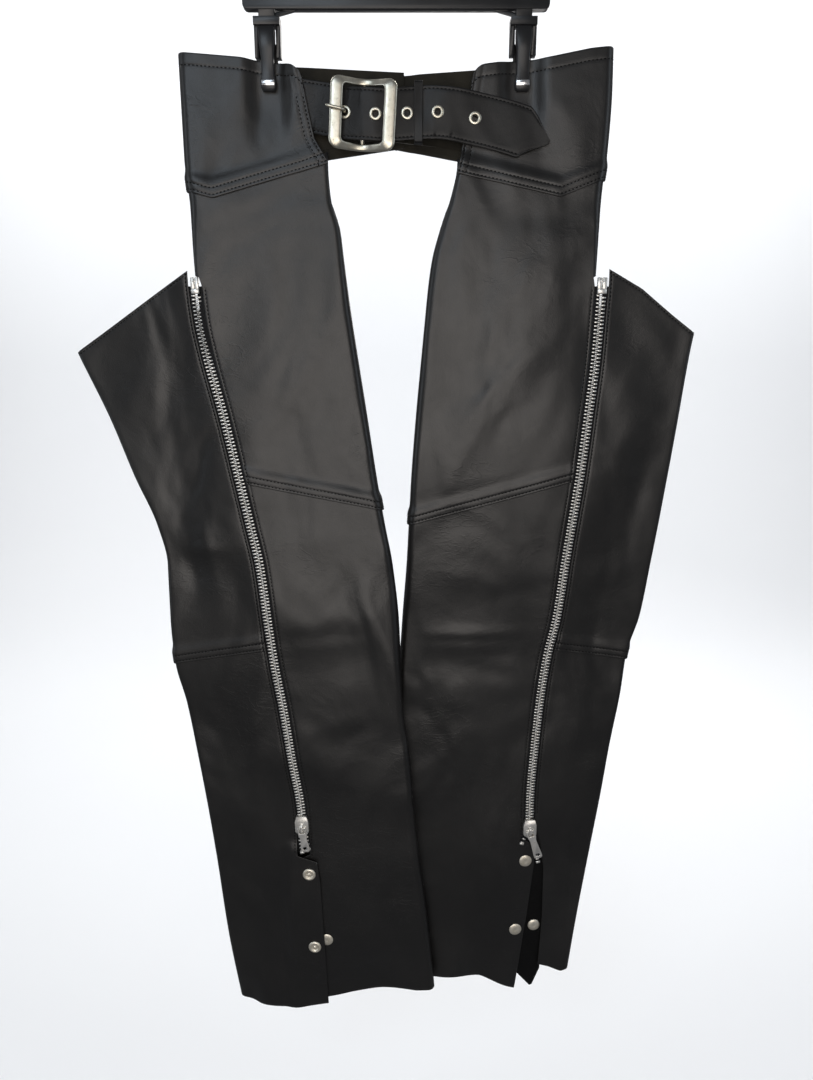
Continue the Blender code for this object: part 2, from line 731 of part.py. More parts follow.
def vent_underlap():
    """Strip behind the left vent. Its lower corner hangs below the panels on either side."""
    leg = LEFT
    under = LAP + 0.6 * MM
    rows = ((-905, 139, 176), (-950, 136, 182), (-1000, 133, 181), (-1050, 128, 174), (-1078, 124, 168))
    left_edge = straight_through([(z, a) for z, a, _ in rows])
    right_edge = straight_through([(z, b) for z, _, b in rows])
    columns = 5
    grid = []
    for i in range(9):
        row = []
        for j in range(columns + 1):
            share = j / columns
            bottom = mix(-1072, -1087, share) * MM
            z = mix(-905 * MM, bottom, i / 8)
            x = mix(left_edge(z), right_edge(z), share)
            row.append(leg.layer_point(-1, x, z, -under - 2.2 * MM * (1 - share)))
        grid.append(row)
    tip = leg.layer_point(-1, 158 * MM, -1111.5 * MM, -under)
    left_foot = grid[-1][0]
    last = []
    for j in range(columns + 1):
        share = j / columns
        peak = 0.62
        if share < peak:
            point = left_foot.lerp(tip, share / peak)
        else:
            point = tip.lerp(grid[-1][-1], (share - peak) / (1 - peak))
        last.append(point - Vector((0, 0, 1.5 * MM)))
    grid.append(last)
    return sheet_object("left_vent_underlap", [grid], LEATHER, "leather", leg_outward(leg))


def ribbon(name, leg, centre, width, top, bottom, out, thickness, material, columns=2, rows=18):
    """A straight-sided strip along the zip line, under or over the front layer."""
    grid = []
    for i in range(rows + 1):
        z = mix(top, bottom, i / rows)
        row = []
        for j in range(columns + 1):
            x = centre(z) + width * (j / columns - 0.5)
            row.append(leg.layer_point(-1, x, z, out))
        grid.append(row)
    return sheet_object(name, [grid], thickness, material, leg_outward(leg))


def outline_plate(name, outline, thickness, material, frame, holes=()):
    """A flat plate from closed outlines in the frame's XY, half its thickness either side of it."""
    curve = bpy.data.curves.new(name, "CURVE")
    curve.dimensions = "2D"
    curve.fill_mode = "BOTH"
    curve.extrude = thickness / 2
    for points in (outline,) + tuple(holes):
        spline = curve.splines.new("POLY")
        spline.points.add(len(points) - 1)
        for point, (x, y) in zip(spline.points, points):
            point.co = (x, y, 0.0, 1.0)
        spline.use_cyclic_u = True
    obj = bpy.data.objects.new(name, curve)
    PARTS.objects.link(obj)
    obj.matrix_world = frame
    give_material(obj, material)
    return obj


def as_mesh(obj):
    """Turn a curve object into a welded mesh object, so that it can be cut or joined."""
    bpy.context.view_layer.update()
    name = obj.name
    matrix = obj.matrix_world.copy()
    evaluated = obj.evaluated_get(bpy.context.evaluated_depsgraph_get())
    mesh = bpy.data.meshes.new_from_object(evaluated)
    curve = obj.data
    bpy.data.objects.remove(obj)
    bpy.data.curves.remove(curve)
    bm = bmesh.new()
    bm.from_mesh(mesh)
    bmesh.ops.remove_doubles(bm, verts=bm.verts, dist=0.01 * MM)
    bm.to_mesh(mesh)
    bm.free()
    mesh.name = name
    welded = bpy.data.objects.new(name, mesh)
    PARTS.objects.link(welded)
    welded.matrix_world = matrix
    return welded


def rounded_outline(width, height, radius, centre=(0.0, 0.0), steps=3):
    """Closed outline of a rectangle with round corners, anticlockwise."""
    points = []
    for corner in range(4):
        sx = 1 if corner in (0, 3) else -1
        sy = 1 if corner in (0, 1) else -1
        for i in range(steps + 1):
            angle = math.radians(90 * (corner + i / steps))
            x = centre[0] + sx * (width / 2 - radius) + radius * math.cos(angle)
            y = centre[1] + sy * (height / 2 - radius) + radius * math.sin(angle)
            points.append((x, y))
    return points


def box_mesh(low, high):
    """A box between two corners, as a bmesh."""
    bm = bmesh.new()
    bmesh.ops.create_cube(bm, size=1.0)
    size = Vector(high) - Vector(low)
    middle = (Vector(high) + Vector(low)) / 2
    bmesh.ops.scale(bm, vec=size, verts=bm.verts)
    bmesh.ops.translate(bm, vec=middle, verts=bm.verts)
    return bm


def helper_object(name, bm):
    """A cutter or a piece to be joined: drawn as wire and left out of the part."""
    bmesh.ops.recalc_face_normals(bm, faces=bm.faces)
    mesh = bpy.data.meshes.new(name)
    bm.to_mesh(mesh)
    bm.free()
    obj = bpy.data.objects.new(name, mesh)
    obj.hide_render = True
    obj.display_type = "WIRE"
    CUTTERS.objects.link(obj)
    return obj


def combine(obj, other, operation):
    """Add or cut another closed shape with an exact Boolean modifier."""
    modifier = obj.modifiers.new(operation.lower(), "BOOLEAN")
    modifier.operation = operation
    modifier.object = other
    return obj


def turned(name, profile, frame, material, steps=16, ring=False):
    """A turned shape from (radius, height) points that run down its outer side."""
    bm = bmesh.new()
    verts = [bm.verts.new((radius, 0.0, height)) for radius, height in profile]
    if ring:
        verts.append(verts[0])
    for a, b in zip(verts, verts[1:]):
        bm.edges.new((a, b))
    mesh = bpy.data.meshes.new(name)
    bm.to_mesh(mesh)
    bm.free()
    obj = bpy.data.objects.new(name, mesh)
    PARTS.objects.link(obj)
    obj.matrix_world = frame
    give_material(obj, material)
    screw = obj.modifiers.new("turn", "SCREW")
    screw.steps = steps
    screw.render_steps = steps
    screw.use_merge_vertices = True
    screw.merge_threshold = 0.01 * MM
    screw.use_smooth_shade = True
    return obj


def slider_frame(leg, z):
    """Frame on the zip at a height, turned along the zip's own direction."""
    step = 6 * MM
    turn = math.atan2(leg.zip(z + step) - leg.zip(z - step), 2 * step)
    return leg.surface_frame(leg.zip(z), z, 0.0, turn)


SLIDER_LENGTH = 20 * MM
SLIDER_TOP_WIDTH = 11 * MM
SLIDER_WIDTH = 14.5 * MM
SLIDER_LOW = 0.4 * MM
SLIDER_HIGH = 4.2 * MM
CHAIN_OUT = 0.8 * MM
ARCH_WIDTH = 2.4 * MM
ARCH_HALF_SPAN = 3.4 * MM
ARCH_THICKNESS = 1.0 * MM
PULL_THICKNESS = 1.5 * MM
PULL_WIDTH = 9.5 * MM
PULL_BAR = 1.5 * MM
PULL_EYE = (6.2 * MM, 5.4 * MM)
AXIS_OUT = SLIDER_HIGH + 0.4 * MM + PULL_THICKNESS / 2


def zip_slider(leg, z):
    """Slider body over the chain, with the arch that carries the pull."""
    frame = slider_frame(leg, z)
    half = SLIDER_LENGTH / 2
    side = [(SLIDER_TOP_WIDTH / 2, half), (SLIDER_WIDTH / 2, half * 0.35),
            (SLIDER_WIDTH / 2, -half * 0.8), (SLIDER_WIDTH / 2 - 2 * MM, -half)]
    outline = [(-x, y) for x, y in side] + side[::-1]
    middle = frame @ Matrix.Translation((0, 0, (SLIDER_LOW + SLIDER_HIGH) / 2))
    plate = outline_plate(leg.name + "_zip_slider", outline, SLIDER_HIGH - SLIDER_LOW, "zip metal", middle)
    body = as_mesh(plate)
    channel = box_mesh((-CHAIN_WIDTH / 2 - 0.6 * MM, -half - 1 * MM, -2 * MM),
                       (CHAIN_WIDTH / 2 + 0.6 * MM, half + 1 * MM, CHAIN_OUT + 0.5 * MM))
    bmesh.ops.transform(channel, matrix=frame, verts=channel.verts)
    combine(body, helper_object(leg.name + "_channel", channel), "DIFFERENCE")
    inner_height = 2 * (AXIS_OUT - SLIDER_HIGH) + 0.2 * MM
    top = SLIDER_HIGH + inner_height + ARCH_THICKNESS
    span = ARCH_HALF_SPAN
    foot = ARCH_THICKNESS
    centre = ARCH_CENTRE
    side = [(centre - span - foot, SLIDER_HIGH - 1 * MM), (centre - span, SLIDER_HIGH - 1 * MM),
            (centre - span, SLIDER_HIGH + inner_height), (centre + span, SLIDER_HIGH + inner_height),
            (centre + span, SLIDER_HIGH - 1 * MM), (centre + span + foot, SLIDER_HIGH - 1 * MM),
            (centre + span + foot, top - 0.6 * MM), (centre + span, top), (centre - span, top),
            (centre - span - foot, top - 0.6 * MM)]
    bm = bmesh.new()
    ends = [[bm.verts.new((x, y, h)) for y, h in side] for x in (-ARCH_WIDTH / 2, ARCH_WIDTH / 2)]
    bm.faces.new(ends[0])
    bm.faces.new(list(reversed(ends[1])))
    for i in range(len(side)):
        k = (i + 1) % len(side)
        bm.faces.new((ends[0][i], ends[0][k], ends[1][k], ends[1][i]))
    bmesh.ops.transform(bm, matrix=frame, verts=bm.verts)
    combine(body, helper_object(leg.name + "_arch", bm), "UNION")
    return body


ARCH_CENTRE = -3.5 * MM


def pull_frame(leg, z, lean):
    """Frame of the pull: origin on its joint's axis, Y up the pull, Z towards the viewer."""
    frame = slider_frame(leg, z)
    axis_point = frame @ Vector((0, ARCH_CENTRE, AXIS_OUT))
    normal = frame.to_3x3() @ Vector((0, 0, 1))
    up = Vector((-math.sin(lean), 0, math.cos(lean)))
    up = (up - normal * up.dot(normal)).normalized()
    across = up.cross(normal).normalized()
    turned_frame = Matrix((across, up, normal)).transposed().to_4x4()
    turned_frame.translation = axis_point
    return turned_frame


def zip_pull(leg, z, lean, length):
    """Flat pull tab: an eye round the arch at its top, a slot near its end."""
    frame = pull_frame(leg, z, lean)
    top = PULL_BAR / 2
    taper = 0.76
    w = PULL_WIDTH / 2
    outline = [(-w, top), (-w, -7 * MM), (-w * taper, -11 * MM), (-w * taper, -15 * MM),
               (-w, -length + 6 * MM), (-w, top - length + 1.5 * MM), (-w + 1.5 * MM, top - length),
               (w - 1.5 * MM, top - length), (w, top - length + 1.5 * MM), (w, -length + 6 * MM),
               (w * taper, -15 * MM), (w * taper, -11 * MM), (w, -7 * MM), (w, top)]
    eye = rounded_outline(PULL_EYE[0], PULL_EYE[1], 1.0 * MM, (0, -PULL_BAR / 2 - PULL_EYE[1] / 2), 2)
    slot = rounded_outline(4.6 * MM, 3.4 * MM, 0.8 * MM, (0, top - length + 4.2 * MM), 2)
    return outline_plate(leg.name + "_zip_pull", outline, PULL_THICKNESS, "zip metal", frame, (eye, slot))


def zip_tail(name, leg, path):
    """The loose teeth of one tape below the slider, ending in a stop. Rows: x, z, width, out."""
    grid = []
    for x, z, width, out in path:
        across = [(x + width * (j / 2 - 0.5)) * MM for j in range(3)]
        grid.append([leg.layer_point(-1, place, z * MM, out * MM) for place in across])
    return sheet_object(name, [grid], 2.0 * MM, "zip metal", leg_outward(leg))


def zip_box(leg, z, width):
    """Box that joins the two tapes at the top of the zip."""
    frame = slider_frame(leg, z) @ Matrix.Translation((0, 0, 0.6 * MM))
    return outline_plate(leg.name + "_zip_box", rounded_outline(width, 15 * MM, 1.5 * MM), 4.2 * MM,
                         "zip metal", frame)


def zip_of(leg, slider_z, lean, pull_length, box_width, tails, tape_end):
    """All the pieces of one zip: tape, chain, box, slider, pull and the loose teeth."""
    name = leg.name + "_zip_"
    tape_out = -(LEATHER + TAPE_GAP)
    ribbon(name + "tape", leg, leg.zip, TAPE_WIDTH, -313 * MM, tape_end, tape_out, TAPE_THICKNESS, "tape")
    chain_bottom = slider_z - SLIDER_LENGTH / 2 + 2 * MM
    ribbon(name + "chain", leg, leg.zip, CHAIN_WIDTH, -320.5 * MM, chain_bottom, CHAIN_OUT, CHAIN_THICKNESS,
           "zip metal")
    zip_box(leg, -312.5 * MM, box_width)
    zip_slider(leg, slider_z)
    zip_pull(leg, slider_z, lean, pull_length)
    for number, path in enumerate(tails, 1):
        zip_tail(name + "tail_" + str(number), leg, path)


def ring_snap(name, leg, x, z, out):
    """Open half of a snap: a dished ring with a post in its middle."""
    radius = SNAP_DIAMETER / 2
    profile = [(0.0, 1.5), (1.3, 1.4), (1.7, 0.5), (3.9, 0.5), (4.6, 1.5), (6.2, 1.4), (radius / MM, 0.5),
               (radius / MM, 0.0), (0.0, 0.0)]
    frame = leg.surface_frame(x * MM, z * MM, out)
    return turned(name, [(r * MM, h * MM) for r, h in profile], frame, "nickel", 14)


def cap_snap(name, leg, x, z, out, height=1.2, tilt=0.0):
    """Closed half of a snap: a low domed cap."""
    radius = SNAP_DIAMETER / 2 / MM
    profile = [(0.0, height), (radius * 0.55, height * 0.92), (radius * 0.88, height * 0.62), (radius, 0.3),
               (radius, 0.0), (0.0, 0.0)]
    frame = leg.surface_frame(x * MM, z * MM, out) @ Matrix.Rotation(tilt, 4, "Y")
    return turned(name, [(r * MM, h * MM) for r, h in profile], frame, "nickel")


# Belt: where its centre line runs, and the Y of its middle face
BELT_COLUMNS = ("x", "z", "y")
BELT_PATH = (
    (-93, -155.0, -2.2),
    (-84, -155.7, -2.3),
    (-73, -157.3, -2.5),
    (-60, -160, -5.2),
    (-46, -163, -8.4),
    (-33, -164.5, -11.3),
    (-24, -164.7, -11.6),
    (-6, -165.4, -11.6),
    (12, -164.3, -11.5),
    (34, -163.2, -11.1),
    (52, -164.5, -10.6),
    (72, -168.5, -10.2),
    (98, -174.5, -10.4),
    (118, -180.5, -10.7),
    (139, -188, -10.9),
)
EYELETS_X = (-46, -18, 10, 37, 71)
BELT_TIP = 23 * MM
BUCKLE_CENTRE = Vector((-30 * MM, -16.6 * MM, -165 * MM))
BUCKLE_TURN = math.radians(3.5)
BUCKLE_BOW = 9.8 * MM
BUCKLE_THICKNESS = 3.8 * MM
CENTRE_BAR_Y = -5.4 * MM
CENTRE_BAR_RADIUS = 2.0 * MM


def belt_point(share, across):
    """A point on the belt's middle face: share along it from 0 to 1, across from -1 to 1."""
    rows = [Vector((x, y, z)) * MM for x, z, y in BELT_PATH]
    position = share * (len(rows) - 1)
    i = min(int(position), len(rows) - 2)
    t = position - i
    a, b = rows[i], rows[i + 1]
    before = rows[i - 1] if i > 0 else a - (b - a)
    after = rows[i + 2] if i + 2 < len(rows) else b + (b - a)
    slope_a = (b - before) / 2
    slope_b = (after - a) / 2
    point = (a * (2 * t ** 3 - 3 * t ** 2 + 1) + slope_a * (t ** 3 - 2 * t ** 2 + t)
             + b * (3 * t ** 2 - 2 * t ** 3) + slope_b * (t ** 3 - t ** 2))
    ahead = (b - a).normalized()
    up = Vector((-ahead.z, 0, ahead.x)).normalized()
    return point + up * (across * BELT_WIDTH / 2)


def belt_share(x):
    """How far along the belt a place in X is."""
    rows = [row[0] * MM for row in BELT_PATH]
    i = max(k for k in range(len(rows) - 1) if rows[k] <= x)
    return (i + (x - rows[i]) / (rows[i + 1] - rows[i])) / (len(rows) - 1)


def belt_frame(x):
    """Frame on the belt's front face at a place in X: Z towards the viewer."""
    share = belt_share(x)
    here = belt_point(share, 0.0)
    ahead = (belt_point(share + 0.01, 0.0) - belt_point(share - 0.01, 0.0)).normalized()
    up = (belt_point(share, 1.0) - belt_point(share, -1.0)).normalized()
    normal = ahead.cross(up).normalized()
    up = normal.cross(ahead).normalized()
    frame = Matrix((ahead, up, normal)).transposed().to_4x4()
    frame.translation = here + normal * (BELT_THICKNESS / 2)
    return frame


def belt_strap():
    """The strap with the pointed tip, sewn under the right yoke and punched for the eyelets."""
    columns = 4
    grid = []
    end = 1.0
    start_of_tip = belt_share((BELT_PATH[-1][0] * MM) - BELT_TIP)
    steps = 24
    for i in range(steps + 1):
        share = end * i / steps
        if share > start_of_tip:
            half = mix(1.0, 0.04, (share - start_of_tip) / (end - start_of_tip))
        else:
            half = 1.0
        row = []
        for j in range(columns + 1):
            middle = belt_point(share, half * (j / columns * 2 - 1))
            row.append(middle - Vector((0, BELT_THICKNESS / 2, 0)))
        grid.append(row)
    strap = sheet_object("belt_strap", [grid], BELT_THICKNESS, "leather", lambda point: Vector((0, -1, 0)))
    for number, x in enumerate(EYELETS_X, 1):
        bm = bmesh.new()
        radius = EYELET_HOLE / 2 + 1.1 * MM
        bmesh.ops.create_cone(bm, cap_ends=True, segments=12, radius1=radius, radius2=radius, depth=10 * MM)
        bmesh.ops.transform(bm, matrix=belt_frame(x * MM), verts=bm.verts)
        combine(strap, helper_object("eyelet_hole_" + str(number), bm), "DIFFERENCE")
    return strap


def eyelet(number, x):
    """A rolled eyelet: a round flange on the strap's face and a barrel through it."""
    hole = EYELET_HOLE / 2
    barrel = hole + 0.7 * MM
    rim = EYELET_DIAMETER / 2
    deep = -BELT_THICKNESS
    lift = 0.3 * MM
    profile = [(hole, deep), (hole, 0.6 * MM + lift), (hole + 0.7 * MM, 1.3 * MM + lift),
               (rim - 1.0 * MM, 1.2 * MM + lift), (rim, lift + 0.3 * MM), (rim, lift),
               (barrel, lift), (barrel, deep)]
    return turned("belt_eyelet_" + str(number), profile, belt_frame(x * MM), "nickel", 12, True)


def buckle_section(width, thickness):
    """Cross-section of a buckle bar: nearly flat behind, round in front. Pairs (across, out)."""
    w = width / 2
    t = thickness / 2
    return [(-w, -t * 0.6), (-w * 0.96, t * 0.25), (-w * 0.62, t * 0.86), (0.0, t), (w * 0.62, t * 0.86),
            (w * 0.96, t * 0.25), (w, -t * 0.6), (w * 0.7, -t), (-w * 0.7, -t)]


def buckle_frame():
    """Square buckle: four rounded bars bowed back in the middle, and a centre bar."""
    size = BUCKLE_SIZE / 2
    outer_radius = 8 * MM
    turn = Matrix.Translation(BUCKLE_CENTRE) @ Matrix.Rotation(BUCKLE_TURN, 4, "Y")
    rings = []
    inner_x = size - BUCKLE_SIDE_BAR
    inner_z = size - BUCKLE_TOP_BAR
    corner_steps = 5
    inner_radius = 3.5 * MM
    run = []
    for corner, (sx, sz) in enumerate(((1, 1), (-1, 1), (-1, -1), (1, -1))):
        for i in range(corner_steps + 1):
            angle = math.radians(90 * (corner + i / corner_steps))
            direction = Vector((math.cos(angle), 0, math.sin(angle)))
            out = Vector((sx * (size - outer_radius), 0, sz * (size - outer_radius)))
            inn = Vector((sx * (inner_x - inner_radius), 0, sz * (inner_z - inner_radius)))
            run.append((out + direction * outer_radius, inn + direction * inner_radius))
    stations = []
    for k in range(len(run)):
        a, b = run[k], run[(k + 1) % len(run)]
        stations.append(a)
        if (k + 1) % (corner_steps + 1) == 0:
            for i in (1, 2, 3):
                stations.append((a[0].lerp(b[0], i / 4), a[1].lerp(b[1], i / 4)))
    for out, inn in stations:
        middle = (out + inn) / 2
        across = out - inn
        width = across.length
        across.normalize()
        bow = BUCKLE_BOW * math.cos(min(abs(middle.x) / size, 1.0) * math.pi / 2) ** 2.2
        ring = []
        for a, o in buckle_section(width, BUCKLE_THICKNESS):
            ring.append(middle + across * a + Vector((0, bow - o, 0)))
        rings.append(ring)
    bm = bmesh.new()
    verts = [[bm.verts.new(turn @ point) for point in ring] for ring in rings]
    count = len(rings[0])
    for i in range(len(verts)):
        a, b = verts[i], verts[(i + 1) % len(verts)]
        for j in range(count):
            bm.faces.new((a[j], a[(j + 1) % count], b[(j + 1) % count], b[j]))
    frame = add_mesh("buckle_frame", bm, "nickel")
    bar = bmesh.new()
    bmesh.ops.create_cone(bar, cap_ends=True, segments=12, radius1=CENTRE_BAR_RADIUS,
                          radius2=CENTRE_BAR_RADIUS, depth=BUCKLE_SIZE - BUCKLE_TOP_BAR)
    bar_place = Vector((0, CENTRE_BAR_Y - BUCKLE_CENTRE.y, 0))
    bmesh.ops.transform(bar, matrix=turn @ Matrix.Translation(bar_place), verts=bar.verts)
    return combine(frame, helper_object("buckle_centre_bar", bar), "UNION")


def wire_object(name, points, radius, material):
    """A round wire through points, with closed ends."""
    curve = bpy.data.curves.new(name, "CURVE")
    curve.dimensions = "3D"
    curve.bevel_depth = radius
    curve.bevel_resolution = 2
    curve.use_fill_caps = True
    spline = curve.splines.new("POLY")
    spline.points.add(len(points) - 1)
    for point, place in zip(spline.points, points):
        point.co = (place[0], place[1], place[2], 1.0)
    obj = bpy.data.objects.new(name, curve)
    PARTS.objects.link(obj)
    give_material(obj, material)
    return obj


PRONG_PATH = (
    (-40.0, -4.2, -164.4),
    (-44.6, -5.0, -163.4),
    (-46.0, -7.4, -163.0),
    (-46.5, -10.5, -163.0),
    (-46.6, -14.5, -162.9),
    (-47.4, -17.9, -162.6),
    (-49.6, -19.6, -162.0),
    (-54.0, -19.7, -161.1),
    (-60.0, -19.6, -159.8),
    (-63.0, -19.0, -159.1),
)


def buckle_prong():
    """Prong: hooked round the centre bar, out through the first eyelet, over the side bar."""
    bar = Vector((BUCKLE_CENTRE.x, CENTRE_BAR_Y, BUCKLE_CENTRE.z))
    wire = 1.4 * MM
    reach = CENTRE_BAR_RADIUS + 0.3 * MM + wire
    points = []
    for i in range(9):
        angle = math.radians(-60 + 235 * i / 8)
        points.append(bar + Vector((math.cos(angle) * reach, math.sin(angle) * reach, 0)))
    for row in PRONG_PATH:
        points.append(Vector(row) * MM)
    return wire_object("buckle_prong", points, wire, "nickel")


def buckle_strap():
    """Strap from the left yoke, folded round the centre bar, with a slot for the prong."""
    outer = CENTRE_BAR_RADIUS + 0.3 * MM + BUCKLE_STRAP_THICKNESS
    bar_x = BUCKLE_CENTRE.x
    path = [(84, -3.2), (72, -3.2), (60, -3.7), (45, -7.0), (30, -9.5), (10, -9.7), (-8, -9.7), (-22, -9.7)]
    points = [(x * MM, y * MM) for x, y in path]
    for i in range(1, 8):
        angle = math.radians(-90 - 180 * i / 8)
        points.append((bar_x + outer * math.cos(angle), CENTRE_BAR_Y + outer * math.sin(angle)))
    points += [(-22 * MM, CENTRE_BAR_Y + outer), (-10 * MM, CENTRE_BAR_Y + outer)]
    bands = (-1.0, -0.55, -0.2, 0.2, 0.55, 1.0)
    grid = []
    for x, y in points:
        fall = belt_point(belt_share(max(x, -100 * MM)), 0.0).z
        half = BELT_WIDTH / 2 - 1 * MM
        lean = math.sin(BUCKLE_TURN) * (1.0 - smoothstep((x + 20 * MM) / (60 * MM)))
        grid.append([Vector((x + band * half * lean, y, fall + band * half)) for band in bands])
    skip = {(i, 2) for i in range(7, 15)}
    outward = lambda point: Vector((0, -1, 0)) if point.y < CENTRE_BAR_Y else Vector((0, 1, 0))
    return sheet_object("buckle_strap", [grid], BUCKLE_STRAP_THICKNESS, "leather", outward, skip)


def belt_keeper():
    """Leather loop round both straps beside the buckle."""
    width = 7.4 * MM
    x = 19.9 * MM
    low = (-13.5 * MM, -187.6 * MM)
    high = (-6.6 * MM, -139.4 * MM)
    wall = 1.8 * MM
    corner = 2.6 * MM
    ring = []
    centre = ((low[0] + high[0]) / 2, (low[1] + high[1]) / 2)
    size = (high[0] - low[0] + 2 * wall, high[1] - low[1] + 2 * wall)
    for y, z in rounded_outline(size[0], size[1], corner, centre, 3):
        ring.append((y, z))
    grid = []
    for y, z in ring + ring[:1]:
        grid.append([Vector((x - width / 2, y, z)), Vector((x, y, z)), Vector((x + width / 2, y, z))])
    outward = lambda point: Vector((0, point.y - centre[0], point.z - centre[1]))
    return sheet_object("belt_keeper", [grid], wall, "leather", outward)


def loft_sections(name, sections, material):
    """A closed prism through rounded rectangles. Rows: z, half width, front y, back y, x centre."""
    rings = []
    for z, half, front, back, x in sections:
        ring = []
        middle = (front + back) / 2
        corner = min(half, (back - front) / 2) * 0.45
        for px, py in rounded_outline(2 * half, back - front, corner, (x, middle), 2):
            ring.append(Vector((px, py, z)) * MM)
        rings.append(ring)
    bm = bmesh.new()
    verts = [[bm.verts.new(point) for point in ring] for ring in rings]
    count = len(rings[0])
    for a, b in zip(verts, verts[1:]):
        for j in range(count):
            bm.faces.new((a[j], a[(j + 1) % count], b[(j + 1) % count], b[j]))
    bm.faces.new(verts[0])
    bm.faces.new(list(reversed(verts[-1])))
    return add_mesh(name, bm, material)


def hanger_clip(side):
    """One clip: a back jaw on two legs, a front jaw between them, and a metal pad on its nose."""
    x = CLIP_X[side]
    name = "hanger_" + side + "_clip_"
    head = box_mesh((x - 11.7 * MM, -7 * MM, -91 * MM), (x + 11.7 * MM, 7 * MM, -84.3 * MM))
    body = add_mesh(name + "back", head, "hanger plastic")
    for sign in (-1, 1):
        a = x + sign * 7.6 * MM
        b = x + sign * 11.7 * MM
        leg_box = box_mesh((min(a, b), -3 * MM, CLIP_FOOT[side]), (max(a, b), 6 * MM, -90 * MM))
        combine(body, helper_object(name + "leg", leg_box), "UNION")
    bridge = box_mesh((x - 11.2 * MM, 2.5 * MM, CLIP_FOOT[side] + 1 * MM),
                      (x + 11.2 * MM, 5.8 * MM, -104 * MM))
    combine(body, helper_object(name + "bridge", bridge), "UNION")
    jaw = box_mesh((x - 8 * MM, 2.5 * MM, -144 * MM), (x + 8 * MM, 5.4 * MM, -110 * MM))
    combine(body, helper_object(name + "jaw", jaw), "UNION")
    centre = x / MM
    lever = ((-91.4, 7.0, -6.5, -2.5, centre), (-97, 7.3, -9.2, -1.6, centre),
             (-106, 7.0, -10.4, -0.8, centre), (-111, 6.4, -10.0, -1.5, centre),
             (-120, 5.7, -8.6, -2.5, centre), (-131, 5.7, -7.8, -2.5, centre),
             (-136, 6.8, -8.0, -2.5, centre), (-141, 6.8, -8.0, -2.5, centre),
             (-144.5, 5.2, -6.4, -2.6, centre))
    loft_sections(name + "front", lever, "hanger plastic")
    pad = ((-136, 5.7, -9.1, -8.3, centre), (-140.4, 5.7, -9.1, -8.3, centre))
    loft_sections(name + "pad", pad, "hook steel")


def hanger():
    """Bar with a post and a brace to each clip, and the wire hook that hangs on the rail."""
    half = 136 * MM
    z = BAR_CENTRE_Z
    outline = rounded_outline(2 * half, BAR_HEIGHT, 4 * MM, (0.0, 0.0), 3)
    turn = Matrix.Translation((0, 0, z)) @ Matrix.Rotation(math.radians(90), 4, "X")
    bar = as_mesh(outline_plate("hanger_bar", outline, BAR_DEPTH, "hanger plastic", turn))
    for side, x in CLIP_X.items():
        post = box_mesh((x - 7.2 * MM, -4 * MM, -84 * MM), (x + 7.2 * MM, 4 * MM, z))
        combine(bar, helper_object(side + "_post", post), "UNION")
        inward = 1 if x < 0 else -1
        start = Vector((x + inward * 33 * MM, 0, -75 * MM))
        end = Vector((x + inward * 6.5 * MM, 0, -82 * MM))
        length = (end - start).length
        brace = box_mesh((-length / 2, -1.6 * MM, -1.6 * MM), (length / 2, 1.6 * MM, 1.6 * MM))
        tilt = math.atan2(-(end - start).z, (end - start).x)
        place = Matrix.Translation((start + end) / 2) @ Matrix.Rotation(tilt, 4, "Y")
        bmesh.ops.transform(brace, matrix=place, verts=brace.verts)
        combine(bar, helper_object(side + "_brace", brace), "UNION")
    radius = HOOK_RADIUS + HOOK_WIRE / 2
    points = [Vector((0, 0, z + BAR_HEIGHT / 2 + 0.3 * MM)), Vector((0, 0, -54 * MM)),
              Vector((1.5 * MM, 0, -48 * MM)), Vector((6 * MM, 0, -43.2 * MM))]
    for i in range(19):
        angle = math.radians(-58 + 268 * i / 18)
        points.append(Vector((radius * math.cos(angle), 0, -HOOK_RADIUS + radius * math.sin(angle))))
    wire_object("hanger_hook", points, HOOK_WIRE / 2, "hook steel")


